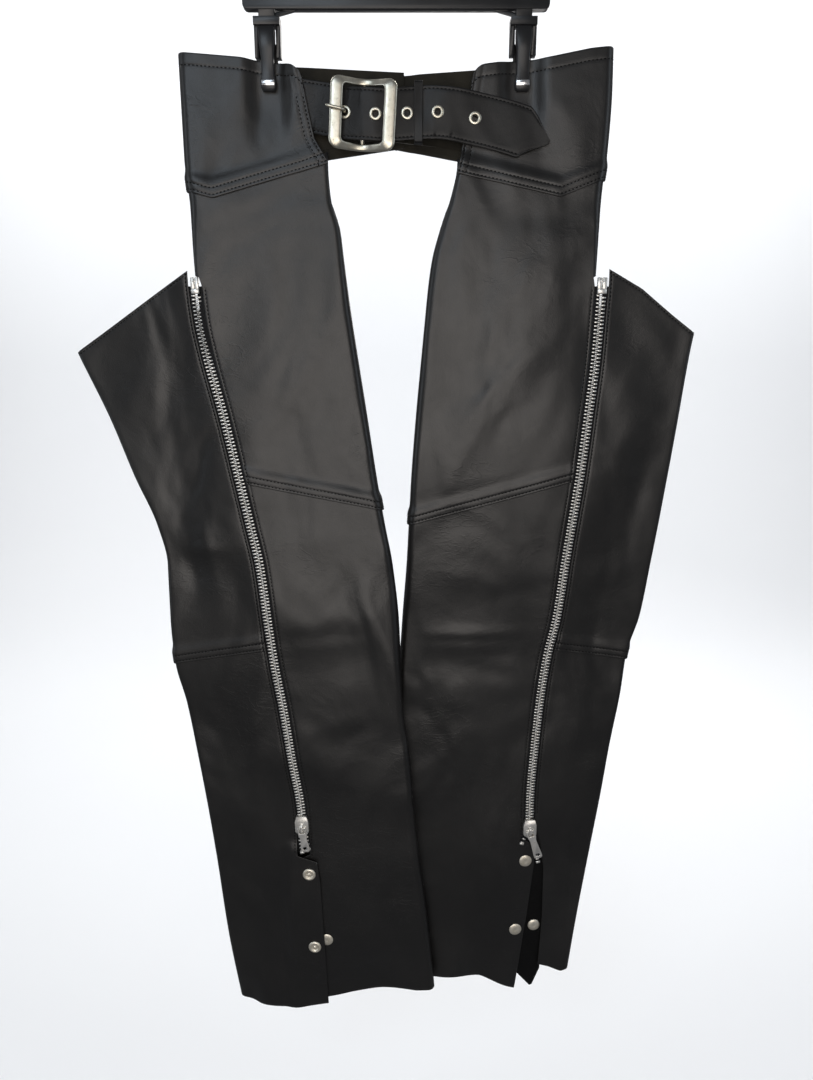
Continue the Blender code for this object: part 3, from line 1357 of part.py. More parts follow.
def build():
    """Make every piece."""
    over_right = lambda x: LAP * (1.0 - smoothstep((x - 10 * MM) / (12 * MM)))
    yoke(RIGHT, straight_through(RIGHT_YOKE_FRONT), 7 * MM, lambda x: 0.0)
    yoke(LEFT, straight_through(LEFT_YOKE_FRONT), -5 * MM, over_right)
    for leg in (RIGHT, LEFT):
        thigh_front(leg)
        thigh_back(leg)
    shin_front(RIGHT, straight_through(RIGHT_FRONT_EDGE))
    shin_front(LEFT, straight_through(LEFT_FRONT_EDGE))
    calf_back(RIGHT, right_flap_edge, right_flap_out)
    calf_back(LEFT, left_back_edge, lambda x, z: 0.0)
    vent_underlap()
    right_tails = (
        ((-106.6, -884.6, 4, 2.2), (-107.0, -895, 4, 2.2), (-106.0, -903, 4, 2.2), (-105.5, -908.5, 5, 2.4),
         (-105.0, -911.5, 5, 2.4)),
        ((-100.6, -884.6, 4, 2.2), (-99.5, -895, 4, 2.2), (-98.0, -906, 4.5, 2.4)),
    )
    left_tails = (
        ((145.5, -906.6, 4, 2.2), (142.5, -910, 4, 2.2), (140.5, -914, 5, 2.4), (139.5, -918, 5, 2.4)),
        ((150.5, -906.6, 4, 2.2), (153.5, -918, 4, 2.2), (157.0, -932, 4, 2.2), (159.5, -942, 5, 2.4)),
    )
    zip_of(RIGHT, -874 * MM, math.radians(8), 29 * MM, 7.5 * MM, right_tails, -911 * MM)
    zip_of(LEFT, -896 * MM, math.radians(18), 36 * MM, 9 * MM, left_tails, -930 * MM)
    on_flap = LAP + FLAP_LIFT + SEAM_GAP
    ring_snap("right_ring_snap_1", RIGHT, -98, -935, on_flap)
    ring_snap("right_ring_snap_2", RIGHT, -94, -1028, on_flap)
    cap_snap("right_cap_snap", RIGHT, -81, -1021, SEAM_GAP)
    cap_snap("left_cap_snap_1", LEFT, 145, -940, SEAM_GAP)
    cap_snap("left_cap_snap_2", LEFT, 136, -1030, 0.7 * MM)
    cap_snap("left_stud_snap", LEFT, 158.5, -1028, -LAP - 0.6 * MM - 0.5 * MM + SEAM_GAP, 1.6)
    belt_strap()
    for number, x in enumerate(EYELETS_X, 1):
        eyelet(number, x)
    buckle_strap()
    belt_keeper()
    buckle_frame()
    buckle_prong()
    for side in CLIP_X:
        hanger_clip(side)
    hanger()


for old in list(bpy.data.objects):
    bpy.data.objects.remove(old)
PARTS = make_collection("leather chaps")
CUTTERS = make_collection("cutters")
build()
print("pieces:", len(PARTS.objects))
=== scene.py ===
# %% [markdown]
# # Leather riding chaps on a clip hanger
# This file dresses a finished CAD model. The model comes in as a fixed frame that is never moved,
# and every piece made here lies where the CAD says and rides on one of its bodies. All sizes are in
# metres; tables are in millimetres and are turned into metres where they are read. X runs to the
# right of the picture, Y away from the viewer and Z up, from the top of the hanger's hook.

# %% Open the CAD model
import json
import math
from functools import lru_cache

import bpy
import bmesh
from mathutils import Matrix, Vector, noise

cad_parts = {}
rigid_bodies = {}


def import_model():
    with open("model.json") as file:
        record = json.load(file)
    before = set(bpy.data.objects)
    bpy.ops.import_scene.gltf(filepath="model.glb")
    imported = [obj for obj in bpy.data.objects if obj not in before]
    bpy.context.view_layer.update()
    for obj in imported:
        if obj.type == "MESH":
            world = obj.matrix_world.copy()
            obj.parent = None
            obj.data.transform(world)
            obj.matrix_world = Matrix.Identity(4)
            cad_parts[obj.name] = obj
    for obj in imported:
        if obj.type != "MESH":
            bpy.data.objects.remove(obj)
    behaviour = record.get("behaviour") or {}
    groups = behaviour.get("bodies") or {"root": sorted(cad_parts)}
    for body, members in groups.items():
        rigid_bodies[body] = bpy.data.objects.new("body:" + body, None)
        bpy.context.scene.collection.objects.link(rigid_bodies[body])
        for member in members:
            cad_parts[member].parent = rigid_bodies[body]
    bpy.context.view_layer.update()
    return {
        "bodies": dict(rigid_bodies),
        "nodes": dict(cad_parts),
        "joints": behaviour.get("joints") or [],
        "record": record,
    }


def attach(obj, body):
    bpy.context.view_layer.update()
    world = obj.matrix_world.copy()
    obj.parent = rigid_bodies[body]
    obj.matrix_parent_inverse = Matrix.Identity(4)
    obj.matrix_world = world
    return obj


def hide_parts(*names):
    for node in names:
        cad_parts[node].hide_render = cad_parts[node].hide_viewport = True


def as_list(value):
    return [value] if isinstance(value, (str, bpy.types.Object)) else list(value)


for old in list(bpy.data.objects):
    bpy.data.objects.remove(old)
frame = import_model()
MM = 0.001
print("CAD nodes:", len(frame["nodes"]))

# %% [markdown]
# ## Camera
# The picture was taken from a little above the waist, looking down at the hems, with a wide lens.
# The lens and the tilt were worked out from the converging legs. Setting them first means that
# every later piece can be judged in the final view.

# %% Place the camera
camera_data = bpy.data.cameras.new("camera")
camera_data.sensor_width = 36.0
camera_data.lens = 27.07
camera = bpy.data.objects.new("camera", camera_data)
camera.location = (0.0092, -0.812, -0.367)
camera.rotation_euler = (math.radians(90 - 13.5), 0.0, 0.0)
bpy.context.scene.collection.objects.link(camera)
bpy.context.scene.camera = camera
print("camera lens", camera_data.lens, "mm")

# %% [markdown]
# ## Floor, wall and light
# The floor turns up into the wall in one soft sweep, as photographers do with paper, so that no
# line crosses behind the legs. Black leather shows mostly what it reflects. One tall soft light in
# front gives the thighs their grey sheen and ends above the floor, so the lower legs stay dark.
# A cool window lights the right yoke, one weak light on each side picks out the folds, and two lights
# behind keep the wall white without touching the leather's front. The room around is dim, so that it
# adds little to the reflections, but pale where a picture from behind would look into it. The floor is kept out of reflections for the same reason.


# %% Make the sweep and the lights
def soft_light(name, place, target, size, power, colour=(1.0, 1.0, 1.0)):
    data = bpy.data.lights.new(name, "AREA")
    data.shape = "RECTANGLE"
    data.size, data.size_y = size
    data.energy = power
    data.color = colour
    light = bpy.data.objects.new(name, data)
    light.location = place
    light.visible_camera = False
    light.rotation_euler = (Vector(target) - Vector(place)).to_track_quat("-Z", "Y").to_euler()
    bpy.context.scene.collection.objects.link(light)
    return light


def studio_sweep(floor_z, front_y, wall_y, top_z, radius, half_width):
    """Floor and wall as one bent sheet."""
    profile = [(front_y, floor_z)]
    for i in range(25):
        turn = math.radians(90 * i / 24)
        profile.append((wall_y - radius + radius * math.sin(turn), floor_z + radius - radius * math.cos(turn)))
    profile.append((wall_y, top_z))
    mesh = bpy.data.meshes.new("sweep")
    verts = [(x, y, z) for y, z in profile for x in (-half_width, half_width)]
    faces = [(2 * i, 2 * i + 1, 2 * i + 3, 2 * i + 2) for i in range(len(profile) - 1)]
    mesh.from_pydata(verts, [], faces)
    mesh.shade_smooth()
    sweep = bpy.data.objects.new("sweep", mesh)
    bpy.context.scene.collection.objects.link(sweep)
    return sweep


sweep = studio_sweep(-1.32, -3.5, 2.6, 3.2, 0.9, 5.0)
sweep.visible_glossy = False
soft_light("key", (-0.02, -1.5, -0.45), (-0.02, 0.0, -0.40), (0.95, 1.1), 10, (1.0, 0.935, 0.88))
soft_light("window_left", (-0.62, -1.5, 0.5), (-0.1, 0.0, -0.2), (0.7, 0.8), 6.5, (0.78, 0.89, 1.0))
soft_light("back", (0.5, 1.5, 0.3), (0.0, 0.0, -0.6), (1.2, 1.2), 12, (1.0, 0.97, 0.94))
soft_light("rim_left", (-1.7, -0.5, -0.2), (0.0, 0.0, -0.5), (0.5, 1.5), 5, (0.85, 0.92, 1.0))
soft_light("rim_right", (1.8, -0.6, 0.0), (0.1, 0.0, -0.5), (0.5, 1.5), 5, (0.82, 0.91, 1.0))
soft_light("wall_left", (-1.3, 0.9, 1.2), (-0.6, 2.6, -0.4), (1.6, 0.8), 37)
soft_light("wall_right", (1.3, 0.9, 1.2), (0.6, 2.6, -0.4), (1.6, 0.8), 37)
world = bpy.data.worlds.new("studio")
world.use_nodes = True
nodes, links = world.node_tree.nodes, world.node_tree.links
room = nodes["Background"]
room.inputs["Color"].default_value = (0.93, 0.95, 1.0, 1.0)
room.inputs["Strength"].default_value = 0.17
seen = nodes.new("ShaderNodeBackground")
seen.inputs["Color"].default_value = (0.90, 0.92, 0.95, 1.0)
seen.inputs["Strength"].default_value = 0.8
choose = nodes.new("ShaderNodeMixShader")
links.new(nodes.new("ShaderNodeLightPath").outputs["Is Camera Ray"], choose.inputs["Fac"])
links.new(room.outputs["Background"], choose.inputs[1])
links.new(seen.outputs["Background"], choose.inputs[2])
links.new(choose.outputs["Shader"], nodes["World Output"].inputs["Surface"])
bpy.context.scene.world = world
bpy.context.scene.view_settings.view_transform = "Standard"

# %% [markdown]
# ## A small language for materials
# Materials here are built from nodes in code. One class wraps a socket, so that maths on it reads
# like ordinary Python and adds its Math nodes; one method adds any other kind of node. Colours
# go through Mix nodes, because a Math node would turn them grey.


# %% Wrap sockets and nodes
class Amount:
    """A number that varies over a surface: arithmetic on it adds Math nodes."""

    def __init__(self, finish, socket):
        self.finish = finish
        self.socket = socket

    def math(self, operation, *values):
        return self.finish.node("Math", {"operation": operation}, *values)

    def __add__(self, other):
        return self.math("ADD", self, other)

    def __sub__(self, other):
        return self.math("SUBTRACT", self, other)

    def __rsub__(self, other):
        return self.math("SUBTRACT", other, self)

    def __mul__(self, other):
        return self.math("MULTIPLY", self, other)

    def __pow__(self, other):
        return self.math("POWER", self, other)

    __radd__ = __add__
    __rmul__ = __mul__

    def band(self, low, high):
        """0 below one level, 1 above the other, smooth between them."""
        settings = {"interpolation_type": "SMOOTHSTEP"}
        return self.finish.node("MapRange", settings, self, low, high, 0.0, 1.0)


class Finish:
    """One material: a Principled shader and the nodes that feed it."""

    def __init__(self, name, **constants):
        self.material = bpy.data.materials.new(name)
        self.material.use_nodes = True
        self.tree = self.material.node_tree
        self.shader = self.tree.nodes["Principled BSDF"]
        self.place = self.node("TexCoord", {}, out="Object")
        for socket, value in constants.items():
            self.shader.inputs[socket.replace("_", " ")].default_value = value

    def node(self, kind, settings, *values, out=None, **named):
        """Add a node: its type, its settings, then values or links for its sockets."""
        node = self.tree.nodes.new("ShaderNode" + kind)
        for key, value in settings.items():
            setattr(node, key, value)
        sockets = [s for s in node.inputs if s.enabled]
        pairs = list(zip(sockets, values))
        pairs += [(next(s for s in sockets if s.name == key.replace("_", " ")), v) for key, v in named.items()]
        for socket, value in pairs:
            if isinstance(value, Amount):
                self.tree.links.new(value.socket, socket)
            else:
                socket.default_value = value
        outputs = [s for s in node.outputs if s.enabled]
        socket = next(s for s in outputs if s.name == out) if out else outputs[0]
        return Amount(self, socket)

    def noise(self, scale, detail=3.0, roughness=0.5, distortion=0.0, stretch=None):
        place = self.place
        if stretch:
            place = self.node("Mapping", {}, place, Scale=stretch)
        return self.node("TexNoise", {}, Vector=place, Scale=scale, Detail=detail, Roughness=roughness,
                         Distortion=distortion, out="Fac")

    def blend(self, amount, low, high):
        """A colour between two, by an amount from 0 to 1."""
        node = self.tree.nodes.new("ShaderNodeMix")
        node.data_type = "RGBA"
        self.tree.links.new(amount.socket, node.inputs["Factor"])
        for socket, value in zip([s for s in node.inputs if s.type == "RGBA"], (low, high)):
            if isinstance(value, Amount):
                self.tree.links.new(value.socket, socket)
            else:
                socket.default_value = (*value, 1.0)
        return Amount(self, next(s for s in node.outputs if s.type == "RGBA"))

    def bump(self, height, distance, under=None):
        """Relief of a height from 0 to 1, this many metres deep, on top of another relief."""
        node = self.tree.nodes.new("ShaderNodeBump")
        node.inputs["Distance"].default_value = distance
        self.tree.links.new(height.socket, node.inputs["Height"])
        if under:
            self.tree.links.new(under.socket, node.inputs["Normal"])
        return Amount(self, node.outputs["Normal"])

    def feed(self, **amounts):
        for socket, value in amounts.items():
            self.tree.links.new(value.socket, self.shader.inputs[socket.replace("_", " ")])
        return self.material


# %% [markdown]
# ## Leather and what goes with it
# The leather is black cowhide with a smooth, lightly waxed face. Close up it has a grain of tiny
# cells, further off it is never quite flat, and where it has been handled its gloss changes in
# cloudy patches. Each of these is one layer of noise at its own size. The flesh side is matt and
# brownish, and the cut edges are dyed but dull.


# %% Mix the leather, flesh side and edge finishes
def leather_finish(name, dark=(0.0042, 0.0038, 0.0036), worn=(0.0085, 0.0078, 0.0072), gloss=0.26, shine=0.5):
    f = Finish(name, Specular_IOR_Level=shine)
    cells = f.node("TexVoronoi", {"feature": "SMOOTH_F1"}, Vector=f.place, Scale=900.0, Smoothness=0.4,
                   out="Distance")
    hair = f.noise(2600.0, 1.0)
    cloud = f.noise(6.0, 4.0, 0.55, 0.5)
    swell = f.noise(8.0, 2.0, 0.4, 0.5, stretch=(1.3, 1.0, 0.8))
    dents = f.noise(30.0, 3.0, 0.5, 0.6)
    lines = f.noise(38.0, 3.0, 0.55, 0.9, stretch=(1.0, 1.0, 1.8))
    break_up = (lines - 0.5).math("ABSOLUTE", lines - 0.5)
    creased = (1.0 - break_up.band(0.0, 0.05)) * f.noise(9.0, 2.0).band(0.50, 0.66)
    scuffs = f.noise(380.0, 4.0, 0.7, stretch=(1.0, 1.0, 0.35)).band(0.66, 0.76) * f.noise(11.0, 2.0).band(0.50, 0.64)
    colour = f.blend(cloud.band(0.36, 0.70), dark, worn)
    colour = f.blend(scuffs * 0.3, colour, (0.026, 0.024, 0.022))
    rough = gloss + 0.16 * cloud + 0.07 * f.noise(90.0, 3.0) + 0.04 * cells + 0.10 * scuffs
    relief = f.bump(swell, 14.0 * MM)
    relief = f.bump(dents, 0.5 * MM, relief)
    relief = f.bump(creased, 0.07 * MM, relief)
    relief = f.bump(cells, 0.045 * MM, relief)
    relief = f.bump(hair, 0.012 * MM, relief)
    return f.feed(Base_Color=colour, Roughness=rough, Normal=relief)


def flesh_finish():
    f = Finish("flesh_side", Specular_IOR_Level=0.25)
    nap = f.noise(900.0, 4.0, 0.7)
    cloud = f.noise(30.0, 4.0, 0.6)
    colour = f.blend(cloud.band(0.3, 0.7), (0.009, 0.008, 0.0055), (0.022, 0.019, 0.013))
    return f.feed(Base_Color=colour, Roughness=0.72 + 0.2 * nap, Normal=f.bump(nap, 0.25 * MM))


def edge_finish(name, dyed=(0.012, 0.011, 0.010), raw=(0.034, 0.029, 0.023)):
    f = Finish(name, Specular_IOR_Level=0.4)
    fibre = f.noise(1500.0, 3.0, 0.6)
    colour = f.blend(fibre.band(0.35, 0.7), dyed, raw)
    return f.feed(Base_Color=colour, Roughness=0.5 + 0.25 * fibre, Normal=f.bump(fibre, 0.12 * MM))


def thread_finish():
    f = Finish("thread", Specular_IOR_Level=0.12)
    twist = f.noise(2600.0, 2.0, 0.5)
    colour = f.blend(twist, (0.002, 0.002, 0.002), (0.007, 0.0065, 0.006))
    return f.feed(Base_Color=colour, Roughness=0.62 + 0.2 * twist, Normal=f.bump(twist, 0.05 * MM))


def tape_finish():
    f = Finish("zip_cloth", Specular_IOR_Level=0.3)
    ribs = f.node("TexWave", {"bands_direction": "Z", "wave_profile": "SIN"}, Vector=f.place, Scale=210.0,
                  Distortion=0.0, out="Fac")
    warp = f.node("TexWave", {"bands_direction": "X", "wave_profile": "SIN"}, Vector=f.place, Scale=260.0,
                  Distortion=0.0, out="Fac")
    weave = ribs * warp
    colour = f.blend(weave, (0.003, 0.003, 0.0035), (0.010, 0.010, 0.011))
    return f.feed(Base_Color=colour, Roughness=0.75 + 0.15 * weave, Normal=f.bump(weave, 0.22 * MM))


# %% [markdown]
# ## Metal and plastic
# The buckle, eyelets and snaps are nickel plate that has gone a little warm and cloudy. The zips
# are a duller satin metal. The hanger is black moulded plastic with a fine spark-eroded skin, and
# its hook is polished wire drawn through a die, so its scratches run along it.


# %% Mix the metals and the plastic
def metal_finish(name, bright, dull, gloss, wear, scratch=(1.0, 1.0, 1.0)):
    f = Finish(name, Metallic=1.0)
    cloud = f.noise(160.0, 4.0, 0.6)
    fine = f.noise(900.0, 3.0, 0.6, stretch=scratch)
    spots = f.noise(420.0, 2.0, 0.5).band(0.62, 0.78)
    colour = f.blend(cloud.band(0.3, 0.75), bright, dull)
    colour = f.blend(spots * 0.5, colour, tuple(0.55 * c for c in dull))
    rough = gloss + wear * cloud + 0.10 * fine + 0.18 * spots
    return f.feed(Base_Color=colour, Roughness=rough, Normal=f.bump(fine, 0.012 * MM))


def plastic_finish():
    f = Finish("black_plastic", Specular_IOR_Level=0.5)
    skin = f.noise(1700.0, 2.0, 0.5)
    cloud = f.noise(45.0, 3.0, 0.5)
    colour = f.blend(cloud, (0.004, 0.004, 0.0045), (0.009, 0.009, 0.010))
    return f.feed(Base_Color=colour, Roughness=0.24 + 0.16 * cloud + 0.08 * skin, Normal=f.bump(skin, 0.03 * MM))


def backdrop_finish():
    f = Finish("pale_paper", Specular_IOR_Level=0.2)
    cloud = f.noise(1.2, 3.0, 0.5)
    colour = f.blend(cloud, (0.80, 0.81, 0.83), (0.84, 0.85, 0.86))
    return f.feed(Base_Color=colour, Roughness=0.7 + 0.1 * cloud)


LEATHER_FACE = leather_finish("leather_face")
BELT_FACE = leather_finish("belt_leather", (0.0034, 0.0032, 0.0031), (0.0065, 0.0060, 0.0057), 0.30, 0.30)
# painted shade: a darker, duller leather for the vent strip, which lies in the shade of the vent's edges
PAINTED_SHADE_FACE = leather_finish("shaded_leather", (0.0018, 0.0017, 0.0018), (0.0034, 0.0032, 0.0032), 0.42, 0.14)
FLESH = flesh_finish()
CUT_EDGE = edge_finish("cut_edge")
# pale belt edge: partly edge wear, partly a painted highlight for the light along the belt's rounded edges
EDGE_WEAR_AND_HIGHLIGHT = edge_finish("worn_edge", (0.045, 0.043, 0.040), (0.15, 0.145, 0.135))
THREAD = thread_finish()
ZIP_CLOTH = tape_finish()
NICKEL = metal_finish("nickel", (0.64, 0.61, 0.52), (0.50, 0.47, 0.38), 0.20, 0.18)
SNAP_METAL = metal_finish("snap_metal", (0.92, 0.87, 0.76), (0.74, 0.69, 0.57), 0.34, 0.18)
ZIP_METAL = metal_finish("zip_metal", (0.90, 0.885, 0.85), (0.74, 0.72, 0.67), 0.30, 0.18)
STEEL = metal_finish("hook_steel", (0.70, 0.70, 0.71), (0.62, 0.62, 0.63), 0.12, 0.08, (1.0, 1.0, 0.15))
PLASTIC = plastic_finish()
sweep.data.materials.append(backdrop_finish())
print("finishes:", len(bpy.data.materials))

# %% [markdown]
# ## How a leg lies
# A leg of chaps is a wide tube of leather. On the hanger it falls flat, with a fold down each side.
# So its cross-section at any height is two nearly flat layers joined by two round folds, and four
# short tables say where they are. Panels, stitches, zips and snaps all ask the same functions for
# their places, which is why nothing floats over or sinks into the leather.

# %% Sizes and tables of the garment
LEATHER = 1.6 * MM
SEAM_GAP = 0.35 * MM
LAP = LEATHER + SEAM_GAP
TUCK = 9 * MM
LAP_FLAT = 11 * MM
LAP_RAMP = 21 * MM
WRAP_WIDTH = 66 * MM
BELT_WIDTH = 44 * MM
BELT_THICKNESS = 3.0 * MM
BUCKLE_STRAP_THICKNESS = 2.0 * MM
BUCKLE_SIZE = 60 * MM
BUCKLE_SIDE_BAR = 11.5 * MM
BUCKLE_TOP_BAR = 6 * MM
EYELET_DIAMETER = 11.5 * MM
EYELET_HOLE = 5.6 * MM
ZIP_CHANNEL = 13 * MM
CHAIN_WIDTH = 9 * MM
CHAIN_THICKNESS = 2.6 * MM
TAPE_WIDTH = 30 * MM
TAPE_THICKNESS = 1.0 * MM
TAPE_GAP = 0.5 * MM
SNAP_DIAMETER = 14.4 * MM
HOOK_RADIUS = 20 * MM
HOOK_WIRE = 4 * MM
BAR_HEIGHT = 12 * MM
BAR_DEPTH = 9 * MM
BAR_CENTRE_Z = -72 * MM
FOLD_STEPS = 14
INSEAM_RUN = 5.5 * MM

SECTION_COLUMNS = ("z", "outer", "zip", "inner")
RIGHT_SECTIONS = (
    (-110, -197, -191, -62),
    (-205, -198, -191, -62),
    (-235, -205, -191, -60),
    (-262, -250, -191, -53),
    (-288, -300, -191, -50),
    (-312, -326, -190.5, -47.2),
    (-345, -322, -188, -43),
    (-375, -310.5, -183, -38.6),
    (-434, -286, -170, -29.8),
    (-496, -264, -157.5, -20.7),
    (-545, -244, -147.5, -12.5),
    (-585, -235.5, -139.5, -5),
    (-645, -235.5, -133, 1.5),
    (-692, -233, -127.5, 3.5),
    (-735, -224, -121, 5),
    (-800, -215.5, -113, 12.5),
    (-860, -208.5, -105, 17.5),
    (-920, -202.5, -103.5, 23.5),
    (-1020, -194, -99, 35),
    (-1112, -182, -95, 43.5),
)
LEFT_SECTIONS = (
    (-110, 196, 194, 56),
    (-205, 195.5, 194, 55),
    (-235, 203, 194, 49),
    (-262, 235, 194, 40.5),
    (-288, 270, 194, 33.5),
    (-312, 291, 194, 30),
    (-345, 289, 193, 26.8),
    (-375, 285, 192, 24),
    (-434, 279, 187.5, 18.6),
    (-496, 273, 182.5, 14),
    (-545, 268.5, 177.5, 11.5),
    (-585, 264.5, 173.5, 9.5),
    (-645, 258, 168, 5),
    (-692, 246.5, 159.5, 2),
    (-735, 243, 154.5, -1),
    (-800, 234.5, 150, -5.5),
    (-860, 228, 147.5, -10),
    (-920, 220.5, 148.5, -14),
    (-1020, 208.5, 152, -21),
    (-1112, 199, 155, -27),
)
HIP_COLUMNS = ("z", "hip")
RIGHT_HIP = ((-110, -196), (-200, -196), (-229, -193.8), (-240, -193), (-285, -191.5), (-312, -190))
LEFT_HIP = ((-106, 195), (-150, 196), (-195, 194.5), (-220, 192), (-235, 191), (-287, 189), (-312, 188))
DEPTH_COLUMNS = ("z", "at_outer", "at_inner", "bulge")
DEPTHS = (
    (-110, 8.5, 6.0, 0.3),
    (-235, 8.5, 6.5, 1.0),
    (-312, 5.5, 8.0, 3.5),
    (-375, 4.5, 8.0, 4.5),
    (-700, 4.5, 8.0, 4.0),
    (-900, 4.5, 8.0, 4.0),
    (-1112, 5.5, 8.0, 5.0),
)
HIP_FOLD_COLUMNS = ("z", "radius")
HIP_FOLD = ((-110, 8.5), (-235, 8.5), (-262, 6.0), (-305, 3.0))

# The lower legs hang one behind the other, by this much from the middle plane
LEG_SHIFT = 13 * MM
LEG_SHIFT_FROM_Z = -430 * MM
LEG_SHIFT_TO_Z = -700 * MM

# Where the inner edge curls from nearly flat, at the crotch, to a full fold
CURL_TOP_Z = -236 * MM
CURL_FULL_Z = -284 * MM
CURL_LEAST = 0.25

CLIP_X = {"right": -115 * MM, "left": 113.5 * MM}
CLIP_FOOT = {"right": -116.5 * MM, "left": -114.5 * MM}
PINCH_DEPTH = 2.1 * MM
PINCH_FLAT = 8.5 * MM
PINCH_FADE = 15 * MM
PINCH_Z = -146 * MM
PINCH_FADE_Z = 55 * MM

# Soft folds: place, half length along the fold, half width across it, angle from X, height
FOLD_COLUMNS = ("x", "z", "long", "wide", "angle", "height")
RIGHT_FRONT_FOLDS = (
    (-205, -562, 62, 16, 3, 2.2),
    (-205, -592, 60, 17, -3, -2.0),
    (-110, -360, 90, 26, 78, 1.6),
    (-70, -640, 70, 20, 25, 1.8),
    (-60, -690, 80, 22, 12, -1.6),
    (-140, -1108, 75, 34, 90, 8.0),
    (-22, -1100, 85, 36, 90, -6.0),
    (28, -1110, 60, 18, 90, 2.5),
)
RIGHT_BACK_FOLDS = (
    (-150, -430, 80, 26, 60, 2.5),
    (-120, -600, 90, 22, 4, 2.2),
    (-130, -635, 90, 20, -5, -2.0),
    (-120, -850, 120, 30, 86, 2.5),
    (-60, -1100, 80, 34, 90, 5.0),
)
LEFT_FRONT_FOLDS = (
    (75, -671, 72, 15, 0, 2.0),
    (80, -702, 76, 17, -3, -1.8),
    (120, -350, 90, 26, 100, 1.6),
    (225, -470, 80, 20, 72, 1.6),
    (215, -600, 60, 16, 12, 1.8),
    (58, -1100, 80, 26, 90, 3.5),
    (92, -1100, 70, 22, 90, -3.5),
    (128, -1100, 75, 24, 90, 5.5),
    (182, -1090, 60, 22, 90, -2.0),
)
LEFT_BACK_FOLDS = (
    (150, -430, 80, 26, 120, 2.5),
    (130, -610, 90, 22, -4, 2.2),
    (120, -645, 90, 20, 5, -2.0),
    (115, -850, 120, 30, 94, 2.5),
    (70, -1100, 80, 34, 90, 5.0),
)

# Panel edges, as places (x, z) in millimetres along each edge
RIGHT_EDGES = {
    "yoke top": ((-196, -113), (-140, -117), (-98, -121.5), (-88, -123)),
    "yoke bottom": ((-194, -229), (-170, -235), (-63, -205)),
    "yoke top back": ((-196, -113), (-100, -121), (7, -126)),
    "yoke bottom back": ((-194, -229), (-130, -219), (-64, -200), (7, -190)),
    "knee": ((-160, -500), (-15, -529)),
    "knee back": ((-30, -529), (0, -529)),
    "back top": ((-310, -374), (-196, -298)),
    "back top back": ((-310, -374), (-48, -284)),
    "calf": ((-236, -691), (-120, -672)),
    "calf back": ((-236, -691), (4, -694)),
    "front hem": ((-111, -1100), (-84, -1098), (-54, -1093), (-20, -1091), (20, -1092), (44, -1092)),
    "back hem": ((-182, -1102), (-160, -1107), (-112, -1107), (-80, -1103)),
    "back hem back": ((-182, -1102), (-100, -1104), (44, -1100)),
    "front hem back": ((0, -1096), (44, -1092)),
}
LEFT_EDGES = {
    "yoke top": ((70, -123), (106, -119), (136, -117), (174, -110), (195, -108)),
    "yoke bottom": ((55, -213), (152, -234), (191, -219)),
    "yoke top back": ((-5, -129), (72, -124), (136, -116), (195, -108)),
    "yoke bottom back": ((-5, -190), (56, -201), (130, -214), (191, -219)),
    "knee": ((13, -546), (184, -498)),
    "knee back": ((0, -546), (40, -546)),
    "back top": ((200, -297), (233, -315), (264, -339), (286, -355)),
    "back top back": ((33, -284), (286, -355)),
    "calf": ((160, -683), (248, -696)),
    "calf back": ((0, -698), (248, -696)),
    "front hem": ((-27, -1096), (44, -1092), (96, -1093), (136, -1107)),
    "back hem": ((164, -1081), (192, -1091), (198, -1089)),
    "back hem back": ((-27, -1098), (100, -1094), (198, -1089)),
    "front hem back": ((-27, -1096), (10, -1095)),
}

# Front edges of the yokes: height and place
RIGHT_YOKE_FRONT = ((-123, -87), (-150, -81.5), (-183, -75), (-203, -63))
LEFT_YOKE_FRONT = ((-123, 70), (-199, 59), (-213, 55))

# The free edges of the vents, below the zips: height and place
VENT_STEP_TOP = -913 * MM
VENT_STEP_BOTTOM = -920 * MM
FLAP_LIFT = 1.7 * MM
RIGHT_FLAP_EDGE = ((-920, -89), (-948, -86), (-1024, -83), (-1112, -80))
RIGHT_FRONT_EDGE = ((-920, -111), (-1021, -92.5), (-1112, -84))
LEFT_FRONT_EDGE = ((-920, 157), (-948, 155), (-1011, 149), (-1052, 144), (-1112, 136))
LEFT_BACK_EDGE = ((-880, 154), (-913, 160), (-949, 166), (-1016, 167), (-1112, 163.5))


# %% [markdown]
# ### Creases that only show close to
# The largest folds are in the CAD tables above. These rows add the smaller ones: sharp
# breaks where the leather bent over the leg, soft dents beside the clips and the zips, and slack
# where the layers hang free. Hidden sides get similar ones, because they hung the same way.

# %% Table of the smaller creases
RIGHT_FRONT_CREASES = (
    (-195, -560, 45, 4.5, 6, -0.9), (-192, -567, 42, 5, 6, 0.8), (-216, -640, 30, 9, 40, 0.6),
    (-178, -545, 22, 5, -20, -0.5), (-230, -470, 70, 10, 68, 0.8), (-262, -420, 60, 12, 52, 0.7),
    (-150, -205, 34, 7, 62, 0.5), (-130, -178, 30, 6, 118, -0.5), (-98, -175, 34, 7, 76, 0.6),
    (-85, -200, 30, 6, 70, -0.5), (-120, -300, 70, 16, 84, 0.9), (-70, -330, 80, 13, 80, -0.8),
    (-60, -440, 60, 12, 70, 0.7), (-140, -470, 60, 12, 100, 0.6), (-45, -512, 34, 5, -14, 0.5),
    (-90, -560, 60, 14, 12, 0.8), (-40, -600, 60, 10, 30, -0.6), (-95, -660, 55, 9, 8, -0.7),
    (-60, -668, 60, 8, 4, 0.7), (-30, -640, 50, 9, 28, 0.6), (-70, -760, 60, 10, 20, 0.7),
    (-45, -770, 45, 6, 30, -0.6), (-25, -850, 70, 12, 60, 0.8), (-150, -780, 70, 14, 76, 0.9),
    (-180, -900, 80, 14, 82, 1.0), (-60, -960, 90, 16, 86, 1.1), (-160, -1010, 80, 14, 92, 0.9),
    (-10, -980, 80, 12, 80, -0.8), (10, -1040, 70, 11, 84, 0.9),
)
